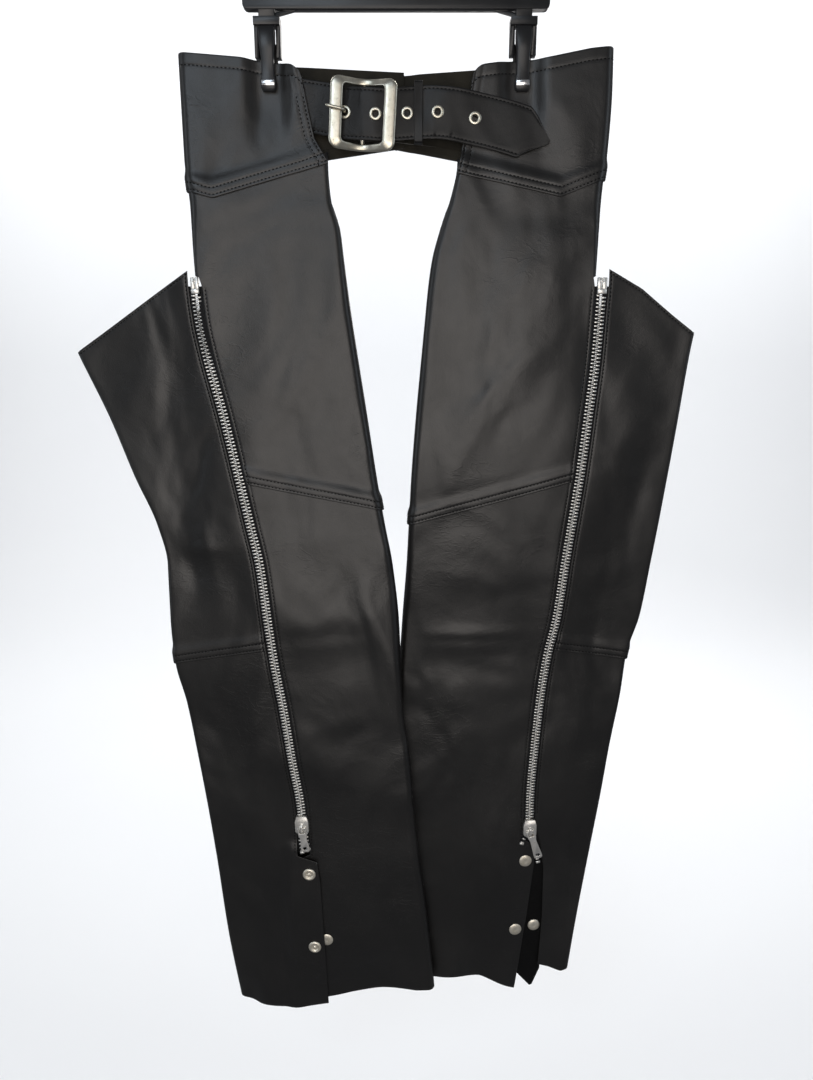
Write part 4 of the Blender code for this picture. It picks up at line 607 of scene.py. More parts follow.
LEFT_FRONT_CREASES = (
    (78, -671, 74, 4.5, 1, -1.1), (80, -665, 72, 6, 1, 1.0), (110, -700, 50, 8, -8, 0.7),
    (95, -180, 30, 7, 66, 0.6), (132, -182, 32, 7, 108, -0.6), (150, -160, 26, 6, 125, 0.5),
    (172, -190, 40, 10, 96, 0.7), (112, -205, 30, 6, 80, 0.5), (60, -300, 70, 13, 100, 0.9),
    (90, -285, 36, 7, 95, -0.7), (58, -275, 28, 7, 60, 0.7), (120, -400, 80, 15, 96, 0.8),
    (50, -430, 70, 12, 92, -0.7), (150, -420, 60, 12, 78, 0.7), (80, -500, 60, 8, 12, 0.6),
    (60, -600, 60, 12, -10, 0.7), (120, -620, 55, 10, 14, -0.7), (225, -400, 60, 11, 64, 0.9),
    (250, -360, 40, 9, 130, 0.7), (245, -520, 60, 10, 80, -0.8), (200, -645, 34, 7, 6, 0.6),
    (205, -680, 30, 6, -6, -0.6), (70, -780, 80, 13, 14, 0.7), (50, -850, 80, 12, 84, -0.8),
    (110, -900, 70, 14, 94, 0.9), (190, -800, 60, 12, 84, 0.8), (200, -960, 70, 11, 86, 0.8),
    (40, -990, 80, 13, 88, 0.9), (100, -1010, 70, 12, 92, -0.9), (15, -930, 60, 10, 70, 0.6),
)
RIGHT_BACK_CREASES = (
    (-140, -170, 50, 9, 80, 0.6), (-60, -165, 50, 9, 96, -0.6), (-110, -330, 80, 13, 70, 0.9),
    (-250, -440, 60, 10, 60, 0.8), (-90, -500, 70, 10, 20, -0.8), (-180, -555, 60, 5, 4, -0.9),
    (-175, -563, 58, 6, 4, 0.9), (-80, -625, 70, 6, -4, -0.9), (-82, -633, 70, 7, -4, 0.8),
    (-140, -720, 70, 12, 74, 0.8), (-60, -800, 80, 13, 86, 0.9), (-170, -880, 90, 14, 82, 0.9),
    (-90, -960, 80, 14, 88, -0.9), (-20, -1010, 80, 12, 84, 0.9), (-140, -1040, 70, 12, 94, 0.9),
)
LEFT_BACK_CREASES = (
    (140, -170, 50, 9, 100, 0.6), (60, -165, 50, 9, 84, -0.6), (110, -330, 80, 13, 110, 0.9),
    (240, -440, 60, 10, 116, 0.8), (90, -500, 70, 10, 160, -0.8), (170, -575, 60, 5, -4, -0.9),
    (168, -583, 58, 6, -4, 0.9), (80, -655, 70, 6, 3, -1.0), (82, -663, 70, 7, 3, 0.9),
    (150, -720, 70, 12, 104, 0.8), (60, -800, 80, 13, 94, 0.9), (180, -880, 90, 14, 98, 0.9),
    (90, -960, 80, 14, 92, -0.9), (30, -1010, 80, 12, 96, 0.9), (150, -1040, 70, 12, 86, 0.9),
)

# %% [markdown]
# ### From tables to places
# A smooth curve runs through each table, and a Leg turns the curves into points: on the front or
# back layer, or round a fold. Each point can also be moved out along the surface, which is how a
# lapped seam, a stitch or a snap comes to lie on what is below it.


# %% Curves through the tables
def smoothstep(value):
    value = min(max(value, 0.0), 1.0)
    return value * value * (3.0 - 2.0 * value)


def mix(a, b, share):
    return a + (b - a) * share


def curve_through(pairs):
    """A smooth function through (position, value) pairs given in millimetres; it ends flat."""
    pairs = sorted((p * MM, v * MM) for p, v in pairs)
    places = [p for p, _ in pairs]
    values = [v for _, v in pairs]
    steps = [(values[i + 1] - values[i]) / (places[i + 1] - places[i]) for i in range(len(pairs) - 1)]
    slopes = [0.0] * len(pairs)
    for i in range(1, len(pairs) - 1):
        if steps[i - 1] * steps[i] > 0:
            slopes[i] = 2 * steps[i - 1] * steps[i] / (steps[i - 1] + steps[i])
    slopes[0] = steps[0]
    slopes[-1] = steps[-1]

    @lru_cache(maxsize=8192)
    def value_at(place):
        if place <= places[0]:
            return values[0]
        if place >= places[-1]:
            return values[-1]
        i = max(k for k in range(len(places) - 1) if places[k] <= place)
        span = places[i + 1] - places[i]
        t = (place - places[i]) / span
        a = (2 * t ** 3 - 3 * t ** 2 + 1) * values[i]
        b = (t ** 3 - 2 * t ** 2 + t) * span * slopes[i]
        c = (3 * t ** 2 - 2 * t ** 3) * values[i + 1]
        d = (t ** 3 - t ** 2) * span * slopes[i + 1]
        return a + b + c + d

    return value_at


def straight_through(pairs):
    """A function that runs in straight lines through (position, value) pairs in millimetres."""
    pairs = sorted((p * MM, v * MM) for p, v in pairs)

    def value_at(place):
        if place <= pairs[0][0]:
            return pairs[0][1]
        for (p0, v0), (p1, v1) in zip(pairs, pairs[1:]):
            if place <= p1:
                return mix(v0, v1, (place - p0) / (p1 - p0))
        return pairs[-1][1]

    return value_at


# %% The leg itself
def column(rows, names, name):
    return curve_through([(row[0], row[names.index(name)]) for row in rows])


class Leg:
    """One flattened leg: its section at each height, and points on its layers and folds."""

    def __init__(self, name, side, sections, hip, edges, front_folds, back_folds):
        self.name = name
        self.side = side
        self.outer = column(sections, SECTION_COLUMNS, "outer")
        self.zip = column(sections, SECTION_COLUMNS, "zip")
        self.inner = column(sections, SECTION_COLUMNS, "inner")
        self.hip = column(hip, HIP_COLUMNS, "hip")
        self.at_outer = column(DEPTHS, DEPTH_COLUMNS, "at_outer")
        self.at_inner = column(DEPTHS, DEPTH_COLUMNS, "at_inner")
        self.bulge = column(DEPTHS, DEPTH_COLUMNS, "bulge")
        self.hip_radius = column(HIP_FOLD, HIP_FOLD_COLUMNS, "radius")
        self.edge = {key: straight_through(places) for key, places in edges.items()}
        self.folds = {-1: front_folds, 1: back_folds}

    def middle(self, z):
        """The middle plane's Y: the right leg hangs in front low down, the left leg behind."""
        share = (LEG_SHIFT_FROM_Z - z) / (LEG_SHIFT_FROM_Z - LEG_SHIFT_TO_Z)
        return self.side * LEG_SHIFT * smoothstep(share)

    def fold_height(self, layer, x, z):
        """How far the soft folds of the front (-1) or back (+1) layer stand out here."""
        total = 0.0
        for fx, fz, long, wide, angle, height in self.folds[layer]:
            turn = math.radians(angle)
            dx = x / MM - fx
            dz = z / MM - fz
            along = (dx * math.cos(turn) + dz * math.sin(turn)) / long
            across = (-dx * math.sin(turn) + dz * math.cos(turn)) / wide
            if abs(along) < 1 and abs(across) < 2.5:
                total += height * MM * math.cos(along * math.pi / 2) ** 2 * math.exp(-across * across)
        return total

    def layer_y(self, layer, x, z):
        """Y of the outer face of the front (-1) or back (+1) layer, without any offset."""
        outer = self.outer(z)
        inner = self.inner(z)
        a = outer - self.side * self.at_outer(z)
        b = inner + self.side * self.at_inner(z)
        share = min(max((x - a) / (b - a), 0.0), 1.0)
        depth = mix(self.at_outer(z), self.at_inner(z), smoothstep(share))
        depth += self.bulge(z) * math.sin(math.pi * share) ** 2
        near_fold = min(abs(x - outer), abs(x - inner))
        depth += self.fold_height(layer, x, z) * smoothstep((near_fold - 8 * MM) / (22 * MM))
        clip = CLIP_X[self.name]
        pinch = 1.0 - smoothstep((abs(x - clip) - PINCH_FLAT) / PINCH_FADE)
        pinch *= 1.0 - smoothstep((PINCH_Z - z) / PINCH_FADE_Z)
        depth = mix(depth, PINCH_DEPTH, pinch)
        return self.middle(z) + layer * depth

    def layer_point(self, layer, x, z, out=0.0):
        """A point on a layer, moved outwards along the layer's own normal."""
        step = 1.0 * MM
        y = self.layer_y(layer, x, z)
        slope_x = (self.layer_y(layer, x + step, z) - self.layer_y(layer, x - step, z)) / (2 * step)
        slope_z = (self.layer_y(layer, x, z + step) - self.layer_y(layer, x, z - step)) / (2 * step)
        normal = Vector((-slope_x, 1.0, -slope_z)).normalized() * layer
        return Vector((x, y, z)) + normal * out

    def fold_circle(self, which, z):
        """Centre and radius of a fold: the edge's X, then tangent to both layers."""
        inward = -self.side
        if which == "inner":
            edge = self.inner(z)
            inward = self.side
            radius = self.at_inner(z)
        elif which == "outer":
            edge = self.outer(z)
            radius = self.at_outer(z)
        else:
            edge = self.hip(z)
            radius = self.hip_radius(z)
        centre_x = edge + inward * radius
        front_y = self.layer_y(-1, centre_x, z)
        return centre_x, front_y + radius, radius, inward

    def fold_point(self, which, angle, z, out=0.0):
        """A point on a fold: 0 degrees is where it leaves the front layer, 180 the back one.

        Past 180 degrees the place runs on along the back layer."""
        centre_x, centre_y, radius, inward = self.fold_circle(which, z)
        if angle > 180.0:
            return self.layer_point(1, centre_x + inward * radius * math.radians(angle - 180.0), z, out)
        turn = math.radians(angle)
        reach = radius + out
        return Vector((centre_x - inward * reach * math.sin(turn), centre_y - reach * math.cos(turn), z))

    def hip_back_point(self, x, z, out=0.0):
        """A point on the part of the thigh panel that is wrapped behind the hip."""
        behind = 2 * self.hip_radius(z)
        high = smoothstep((z + 262 * MM) / (27 * MM))
        y = mix(self.layer_y(-1, x, z) + behind, self.layer_y(1, x, z), high)
        return Vector((x, y + out, z))

    def curl(self, z):
        """Share of the inner fold that the front panel makes at this height."""
        return mix(CURL_LEAST, 1.0, smoothstep((CURL_TOP_Z - z) / (CURL_TOP_Z - CURL_FULL_Z)))

    def tangent_x(self, which, z):
        return self.fold_circle(which, z)[0]

    def inseam_angle(self, z):
        """How far round the inner fold the front panel reaches: a little past it, onto the back."""
        return (180.0 + math.degrees(INSEAM_RUN / self.at_inner(z))) * self.curl(z)

    def surface_frame(self, x, z, out=0.0, turn=0.0):
        """Matrix on the front layer: X across, Y up the leg, Z towards the viewer."""
        origin = self.layer_point(-1, x, z, out)
        normal = (self.layer_point(-1, x, z, out + 1.0) - origin).normalized()
        up = Vector((math.sin(turn), 0.0, math.cos(turn)))
        up = (up - normal * up.dot(normal)).normalized()
        across = up.cross(normal).normalized()
        frame = Matrix((across, up, normal)).transposed().to_4x4()
        frame.translation = origin
        return frame


RIGHT = Leg("right", -1, RIGHT_SECTIONS, RIGHT_HIP, RIGHT_EDGES,
            RIGHT_FRONT_FOLDS + RIGHT_FRONT_CREASES, RIGHT_BACK_FOLDS + RIGHT_BACK_CREASES)
LEFT = Leg("left", 1, LEFT_SECTIONS, LEFT_HIP, LEFT_EDGES,
           LEFT_FRONT_FOLDS + LEFT_FRONT_CREASES, LEFT_BACK_FOLDS + LEFT_BACK_CREASES)
print("legs:", RIGHT.name, LEFT.name)


class Station:
    """One column of a panel: where it lies on the leg at each height."""

    def __init__(self, leg, kind, place):
        self.leg = leg
        self.kind = kind
        self.place = place

    def x(self, z):
        if self.kind in ("front", "back", "hip back"):
            return self.place(z)
        centre_x, _, radius, inward = self.leg.fold_circle(self.kind, z)
        angle = self.place(z)
        if angle > 180.0:
            return centre_x + inward * radius * math.radians(angle - 180.0)
        return centre_x - inward * radius * math.sin(math.radians(angle))

    def point(self, z, out):
        if self.kind == "front":
            return self.leg.layer_point(-1, self.place(z), z, out)
        if self.kind == "back":
            return self.leg.layer_point(1, self.place(z), z, out)
        if self.kind == "hip back":
            return self.leg.hip_back_point(self.place(z), z, out)
        return self.leg.fold_point(self.kind, self.place(z), z, out)


def run_of(leg, kind, start, end, count, skip_first=False):
    """Stations evenly spaced from one place to another, both functions of height."""
    first = 1 if skip_first else 0
    stations = []
    for i in range(first, count + 1):
        share = i / count
        stations.append(Station(leg, kind, lambda z, s=share: mix(start(z), end(z), s)))
    return stations


def fold_run(leg, which, full):
    """Stations round a fold after its front tangent; full gives the last one's angle."""
    stations = []
    for i in range(1, FOLD_STEPS + 1):
        share = i / FOLD_STEPS
        stations.append(Station(leg, which, lambda z, s=share: min(180.0, full(z)) * s))
    return stations


def edge_height(leg, station, front_key, back_key):
    """The height at which a panel edge crosses a column."""
    front_edge = leg.edge[front_key]
    back_edge = leg.edge[back_key]
    z = front_edge(station.x(-500 * MM))
    for _ in range(4):
        x = station.x(z)
        if station.kind == "front":
            z = front_edge(x)
        elif station.kind in ("back", "hip back"):
            z = back_edge(x)
        else:
            z = mix(front_edge(x), back_edge(x), min(station.place(z) / 180.0, 1.0))
    return z


def spread(top, bottom, head=(), through=(), tail=(), counts=(10,)):
    """Heights down a column: set distances at its ends, set heights between, even steps between."""
    stops = [top - d for d in head] + [z for z in through] + [bottom + d for d in tail]
    levels = [top] + stops[:len(head)]
    anchors = [levels[-1]] + list(through) + [bottom + tail[0] if tail else bottom]
    for (a, b), count in zip(zip(anchors, anchors[1:]), counts):
        levels += [mix(a, b, (i + 1) / count) for i in range(count)]
    if tail:
        levels += [bottom + d for d in tail[1:]] + [bottom]
    return levels



# %% [markdown]
# ## Leather panels
# Each panel is a grid of points on the leg, one face thick, that Solidify turns into leather with
# a face, a flesh side and a cut edge. The grid is fine where a seam needs it: columns and rows
# stand at set distances from the edges, so a row of stitches always runs along a row of points and
# the leather can be pressed down under the thread.

# %% Grid distances and seam relief
EDGE_STEPS = (0.45, 1.1, 1.8, 2.5, 3.2, 4.0, 5.4, 7.2)
HEM_STEPS = (21, 18.5, 16, 13.5, 11, 9.9, 9.2, 8.5, 7.8, 7.1, 5.6, 4.2, 3.4, 2.6, 1.9, 1.1, 0.45)
TOP_STEPS = (0.45, 1.1, 1.9, 2.6, 3.4, 4.6, 6.4, 8.4, 9.2, 10.0, 10.8, 11.8, 14)
GRID = 4.0 * MM
STITCH_INSET = 2.5 * MM
SECOND_ROW = 8.5 * MM


def groove(distance, lines=(STITCH_INSET, SECOND_ROW)):
    """How far thread has pulled the leather in, beside stitch lines at these distances."""
    depth = sum(0.36 * MM * math.exp(-((distance - at) / (0.8 * MM)) ** 2) for at in lines)
    return -depth - 0.35 * MM * math.exp(-(distance / (0.5 * MM)) ** 2)


def puckers(leg, z):
    """Small uneven ripples that a stitched zip puts along the leather's edge."""
    wave = math.sin(z * 640 + 1.3 * math.sin(z * 93)) + 0.7 * math.sin(z * 397 + leg.side)
    strength = 0.5 + 0.5 * math.sin(z * 31 + 2.0 * leg.side)
    return 0.16 * MM * wave * strength


def lap(distance):
    """Offset of a lapped edge: full near the edge, then down to the panel below it."""
    return LAP * (1.0 - smoothstep((distance - LAP_FLAT) / (LAP_RAMP - LAP_FLAT)))


def columns_between(leg, kind, start, end, step=GRID, skip_first=True, at=-400 * MM):
    """Stations between two places, about a grid step apart."""
    count = max(2, round(abs(end(at) - start(at)) / step))
    return run_of(leg, kind, start, end, count, skip_first)


def columns_from(leg, kind, edge, toward, distances=EDGE_STEPS):
    """Stations at set distances from an edge, towards one side."""
    return [Station(leg, kind, lambda z, d=d: edge(z) + toward * d * MM) for d in (0,) + tuple(distances)]


def zip_side(leg, outwards, extra=0.0):
    """Place of a panel's zip edge, or a line beside it, on the inner or outer side of the zip."""
    sign = leg.side if outwards else -leg.side
    return lambda z: leg.zip(z) + sign * (ZIP_CHANNEL / 2 + extra)


# %% Turn grids into leather
def arc(points):
    return sum((b - a).length for a, b in zip(points, points[1:]))


PANELS = []


class Panel:
    """A piece of leather, the grid that it was made from, and what is sewn on it."""

    def __init__(self, name, grids, outward, thickness=LEATHER, face=None, width=None):
        self.name = name
        self.trim = []
        self.rows = grids[0]
        self.outward = outward
        bm = bmesh.new()
        for grid in grids:
            verts = [[bm.verts.new(point) for point in row] for row in grid]
            for a, b in zip(verts, verts[1:]):
                for j in range(len(a) - 1):
                    bm.faces.new((a[j], a[j + 1], b[j + 1], b[j]))
        bmesh.ops.remove_doubles(bm, verts=bm.verts, dist=0.01 * MM)
        bmesh.ops.recalc_face_normals(bm, faces=bm.faces)
        probe = max(bm.faces, key=lambda one: one.calc_area())
        if probe.normal.dot(outward(probe.calc_center_median())) < 0:
            bmesh.ops.reverse_faces(bm, faces=bm.faces)
        self.area = sum(one.calc_area() for one in bm.faces)
        mesh = bpy.data.meshes.new(name)
        bm.to_mesh(mesh)
        bm.free()
        mesh.shade_smooth()
        for material in (face or LEATHER_FACE, FLESH, CUT_EDGE):
            mesh.materials.append(material)
        self.obj = bpy.data.objects.new(name + "_leather", mesh)
        bpy.context.scene.collection.objects.link(self.obj)
        shell = self.obj.modifiers.new("thickness", "SOLIDIFY")
        shell.thickness = thickness
        shell.offset = -1.0
        shell.use_even_offset = True
        shell.use_quality_normals = True
        shell.material_offset = 1
        shell.material_offset_rim = 2
        rounding = self.obj.modifiers.new("rounded edge", "BEVEL")
        rounding.width = 0.35 * MM
        rounding.segments = 2
        rounding.limit_method = "ANGLE"
        rounding.angle_limit = math.radians(55)
        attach(self.obj, "garment")
        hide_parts(name)
        if width is None:
            width = max(arc(row) for grid in grids for row in grid)
            if len(grids) > 1:
                width = max(arc(a) + arc(b) for a, b in zip(grids[0], grids[1]))
        length = max(arc(column) for column in zip(*grids[0]))
        self.flat = (width, length)
        PANELS.append(self)
        print(f"{name}: cut {width:.3f} x {length:.3f} m, {self.area:.4f} m2, {len(mesh.polygons)} faces")

    def normal(self, i, j):
        rows = self.rows
        a, b = max(i - 1, 0), min(i + 1, len(rows) - 1)
        c, d = max(j - 1, 0), min(j + 1, len(rows[0]) - 1)
        normal = (rows[i][d] - rows[i][c]).cross(rows[b][j] - rows[a][j]).normalized()
        return normal if normal.dot(self.outward(rows[i][j])) >= 0 else -normal

    def row_line(self, i, start=0, end=None):
        """Points and normals along one row of the grid."""
        i %= len(self.rows)
        end = len(self.rows[0]) if end is None else end
        line = []
        for j in range(start, end):
            normal = self.normal(i, j)
            if line and normal.dot(line[-1][1]) < 0:
                normal = -normal
            line.append((self.rows[i][j], normal))
        return line

    def column_line(self, j, start=0, end=None):
        """Points and normals down one column of the grid."""
        end = len(self.rows) if end is None else end
        return [(self.rows[i][j], self.normal(i, j)) for i in range(start, end)]


def leg_outward(leg):
    return lambda point: Vector((0, point.y - leg.middle(point.z), 0))


def leather_panel(name, leg, stations, levels, out, extra=None):
    columns = [[station.point(z, out(station, z)) for z in levels(station)] for station in stations]
    rows = [list(row) for row in zip(*columns)]
    return Panel(name, [rows] + (extra or []), leg_outward(leg))


def edge_distance(station, edge, z):
    return abs(station.x(z) - edge(z))


# %% [markdown]
# ### Hip yokes
# The yokes are the broad band that the clips hold. Each goes from a free front edge, round the hip
# and back to the centre seam. Its top is turned over and stitched 10 mm down, and its lower edge
# laps over the thigh panel with two rows of stitches that meet in a shallow V at the hip.


# %% Cut the yokes
def yoke(leg, front_edge, centre_back, centre_out):
    corner = 10 * MM
    clip = CLIP_X[leg.name]
    pinch = PINCH_FLAT + PINCH_FADE
    tangent = lambda z: leg.tangent_x("hip", z)
    at = -150 * MM
    stops = [lambda z: front_edge(z) + leg.side * 12 * MM]
    stops += [lambda z, d=d: clip + leg.side * d for d in (-PINCH_FLAT, PINCH_FLAT, pinch)] + [tangent]
    stations = columns_from(leg, "front", front_edge, leg.side, EDGE_STEPS + (8.5, 9.8, 12))
    for a, b in zip(stops, stops[1:]):
        stations += columns_between(leg, "front", a, b, 3.6 * MM, at=at)
    stations += fold_run(leg, "hip", lambda z: 180.0)
    stations += columns_between(leg, "back", tangent, lambda z: centre_back, 4.5 * MM, at=at)

    def ends(station):
        top = edge_height(leg, station, "yoke top", "yoke top back")
        return top, edge_height(leg, station, "yoke bottom", "yoke bottom back")

    def levels(station):
        top, bottom = ends(station)
        if station.kind == "front":
            inset = corner - min(abs(station.x(top) - front_edge(top)), corner)
            top -= corner - math.sqrt(max(corner ** 2 - inset ** 2, 0.0))
        head = [d * MM for d in TOP_STEPS]
        return spread(top, bottom, head=head, tail=[d * MM for d in HEM_STEPS], counts=(17,))

    def out(station, z):
        top, bottom = ends(station)
        offset = lap(z - bottom)
        if station.kind == "back":
            behind = abs(station.x(z) - leg.hip(z))
            offset *= 1.0 - smoothstep((behind - WRAP_WIDTH - 12 * MM) / (25 * MM))
            offset = max(offset, centre_out(station.x(z)))
        offset += groove(z - bottom) + groove(top - z, (10 * MM,))
        if station.kind == "front":
            offset += groove(edge_distance(station, front_edge, z), (STITCH_INSET, SECOND_ROW))
        return offset

    return leather_panel(leg.name + "_yoke", leg, stations, levels, out)


over_right = lambda x: LAP * (1.0 - smoothstep((x - 10 * MM) / (12 * MM)))
RIGHT_YOKE = yoke(RIGHT, straight_through(RIGHT_YOKE_FRONT), 7 * MM, lambda x: 0.0)
LEFT_YOKE = yoke(LEFT, straight_through(LEFT_YOKE_FRONT), -5 * MM, over_right)

# %% [markdown]
# ### Thigh and shin panels
# The front of each leg is two panels that meet at a slanting knee seam. They run from the zip
# round the inner fold to the inseam, and at the top the thigh panel wraps behind the hip, where
# the thigh is left open so that chaps can go on over trousers.


# %% Cut the thigh and shin panels
def thigh_front(leg):
    hip_end = -305 * MM
    side_edge = zip_side(leg, False)

    def outer_edge(z):
        return mix(leg.tangent_x("hip", z), side_edge(z), smoothstep((-300 * MM - z) / (16 * MM)))

    tangent = lambda z: leg.tangent_x("inner", z)
    start = lambda z: outer_edge(z) - leg.side * EDGE_STEPS[-1] * MM
    stations = columns_from(leg, "front", outer_edge, -leg.side)
    stations += columns_between(leg, "front", start, tangent)
    stations += fold_run(leg, "inner", leg.inseam_angle)
    stations.append(Station(leg, "inner", leg.inseam_angle))

    def yoke_line(station):
        return edge_height(leg, station, "yoke bottom", "yoke bottom back")

    def levels(station):
        top = yoke_line(station) + TUCK
        bottom = edge_height(leg, station, "knee", "knee back")
        return spread(top, bottom, head=(TUCK,), through=(-260 * MM, -284 * MM, hip_end, -322 * MM),
                      tail=[d * MM for d in HEM_STEPS], counts=(8, 6, 5, 5, 42))

    def out(station, z):
        rise = z - edge_height(leg, station, "knee", "knee back")
        offset = lap(rise) + groove(rise)
        if station.kind == "front":
            beside = edge_distance(station, outer_edge, z)
            low = smoothstep((-312 * MM - z) / (8 * MM))
            offset += low * (groove(beside, (STITCH_INSET,)) + puckers(leg, z) * math.exp(-beside / (9 * MM)))
        return offset

    hip_levels = [z for z in levels(stations[0]) if z > hip_end - 0.01 * MM]
    wrapped = [stations[0]] + fold_run(leg, "hip", lambda z: 180.0)
    far = lambda z: leg.tangent_x("hip", z) - leg.side * WRAP_WIDTH
    wrapped += run_of(leg, "hip back", lambda z: leg.tangent_x("hip", z), far, 16, True)
    share = [(hip_levels[0] - z) / (hip_levels[0] - hip_levels[-1]) for z in hip_levels]
    columns = [[stations[0].point(z, out(stations[0], z)) for z in hip_levels]]
    for k, station in enumerate(wrapped[1:], 1):
        top = yoke_line(station) + TUCK
        reach = max(0, k - FOLD_STEPS) / 16
        bottom = mix(hip_end + 3.5 * MM * min(k, FOLD_STEPS) / FOLD_STEPS, top - 14 * MM, reach)
        columns.append([station.point(mix(top, bottom, s), 0.0) for s in share])
    wrap = [list(row) for row in zip(*columns)]
    return leather_panel(leg.name + "_thigh_front", leg, stations, levels, out, [wrap])


def shin_front(leg, vent_edge):
    side = zip_side(leg, False)

    def outer_edge(z):
        share = (VENT_STEP_TOP - z) / (VENT_STEP_TOP - VENT_STEP_BOTTOM)
        return mix(side(z), vent_edge(z), min(max(share, 0.0), 1.0))

    tangent = lambda z: leg.tangent_x("inner", z)
    start = lambda z: outer_edge(z) - leg.side * EDGE_STEPS[-1] * MM
    stations = columns_from(leg, "front", outer_edge, -leg.side)
    stations += columns_between(leg, "front", start, tangent, at=-800 * MM)
    stations += fold_run(leg, "inner", leg.inseam_angle)
    stations.append(Station(leg, "inner", leg.inseam_angle))

    def levels(station):
        top = edge_height(leg, station, "knee", "knee back") + TUCK
        bottom = edge_height(leg, station, "front hem", "front hem back")
        return spread(top, bottom, head=(TUCK,), through=(VENT_STEP_TOP, VENT_STEP_BOTTOM), counts=(88, 4, 42))

    def out(station, z):
        if station.kind != "front":
            return 0.0
        beside = edge_distance(station, outer_edge, z)
        high = smoothstep((z - VENT_STEP_TOP) / (6 * MM))
        stitched = groove(beside, (STITCH_INSET,)) + puckers(leg, z) * math.exp(-beside / (9 * MM))
        return mix(groove(beside, ()), stitched, high)

    return leather_panel(leg.name + "_shin_front", leg, stations, levels, out)


THIGH_FRONTS = {leg.name: thigh_front(leg) for leg in (RIGHT, LEFT)}
SHIN_FRONTS = {"right": shin_front(RIGHT, straight_through(RIGHT_FRONT_EDGE)),
               "left": shin_front(LEFT, straight_through(LEFT_FRONT_EDGE))}

# %% [markdown]
# ### Outer and back panels
# The rest of each leg is one thigh panel and one calf panel that start at the zip, go round the
# outer fold and cross the whole back. The wide wing at the top is the back of the thigh, which
# closes round the leg when the chaps are worn.


# %% Cut the outer and back panels
def back_stations(leg, edge, at):
    tangent = lambda z: leg.tangent_x("outer", z)
    start = lambda z: edge(z) + leg.side * EDGE_STEPS[-1] * MM
    stations = columns_from(leg, "front", edge, leg.side)
    stations += columns_between(leg, "front", start, tangent, at=at)
    stations += fold_run(leg, "outer", lambda z: 180.0)
    seam = lambda z: leg.tangent_x("inner", z) + leg.side * (INSEAM_RUN + SEAM_GAP + 0.1 * MM)
    stations += columns_between(leg, "back", tangent, seam, 4.8 * MM, at=at)
    return stations


def thigh_back(leg):
    edge = zip_side(leg, True)
    stations = back_stations(leg, edge, -450 * MM)

    def ends(station):
        top = edge_height(leg, station, "back top", "back top back")
        return top, edge_height(leg, station, "calf", "calf back")

    def levels(station):
        top, bottom = ends(station)
        return spread(top, bottom, head=[d * MM for d in TOP_STEPS[:7]], tail=[d * MM for d in HEM_STEPS],
                      counts=(62,))

    def out(station, z):
        top, bottom = ends(station)
        offset = lap(z - bottom) + groove(z - bottom) + groove(top - z, (2.6 * MM,))
        if station.kind == "front":
            beside = edge_distance(station, edge, z)
            offset += groove(beside, (STITCH_INSET,)) + puckers(leg, z + 1) * math.exp(-beside / (9 * MM))
        return offset

    return leather_panel(leg.name + "_thigh_back", leg, stations, levels, out)


def calf_back(leg, edge, flap_out):
    stations = back_stations(leg, edge, -850 * MM)

    def levels(station):
        top = edge_height(leg, station, "calf", "calf back") + TUCK
        bottom = edge_height(leg, station, "back hem", "back hem back")
        return spread(top, bottom, head=(TUCK,), through=(VENT_STEP_TOP, VENT_STEP_BOTTOM), counts=(50, 4, 42))

    def out(station, z):
        if station.kind != "front":
            return 0.0
        beside = edge_distance(station, edge, z)
        high = smoothstep((z + 885 * MM) / (6 * MM))
        stitched = groove(beside, (STITCH_INSET,)) + puckers(leg, z + 1) * math.exp(-beside / (9 * MM))
        return flap_out(station.x(z), z) + mix(groove(beside, ()), stitched, high)

    return leather_panel(leg.name + "_calf_back", leg, stations, levels, out)


def right_flap_edge(z):
    """Front edge of the right calf panel: beside the zip, then stepping out into a flap."""
    flap = straight_through(RIGHT_FLAP_EDGE)(z)
    share = (VENT_STEP_TOP - z) / (VENT_STEP_TOP - VENT_STEP_BOTTOM)
    return mix(zip_side(RIGHT, True)(z), flap, min(max(share, 0.0), 1.0))


def right_flap_out(x, z):
    """The right flap lies on the shin panel, a little proud of it at its free edge."""
    low = smoothstep((VENT_STEP_TOP + 20 * MM - z) / (14 * MM))
    return low * (LAP + FLAP_LIFT) * smoothstep((x + 132 * MM) / (16 * MM))


def left_back_edge(z):
    """Front edge of the left calf panel: it leaves the zip and stands open below it."""
    beside = zip_side(LEFT, True)(z)
    return mix(beside, straight_through(LEFT_BACK_EDGE)(z), smoothstep((-880 * MM - z) / (40 * MM)))


THIGH_BACKS = {leg.name: thigh_back(leg) for leg in (RIGHT, LEFT)}
CALF_BACKS = {"right": calf_back(RIGHT, right_flap_edge, right_flap_out),
              "left": calf_back(LEFT, left_back_edge, lambda x, z: 0.0)}
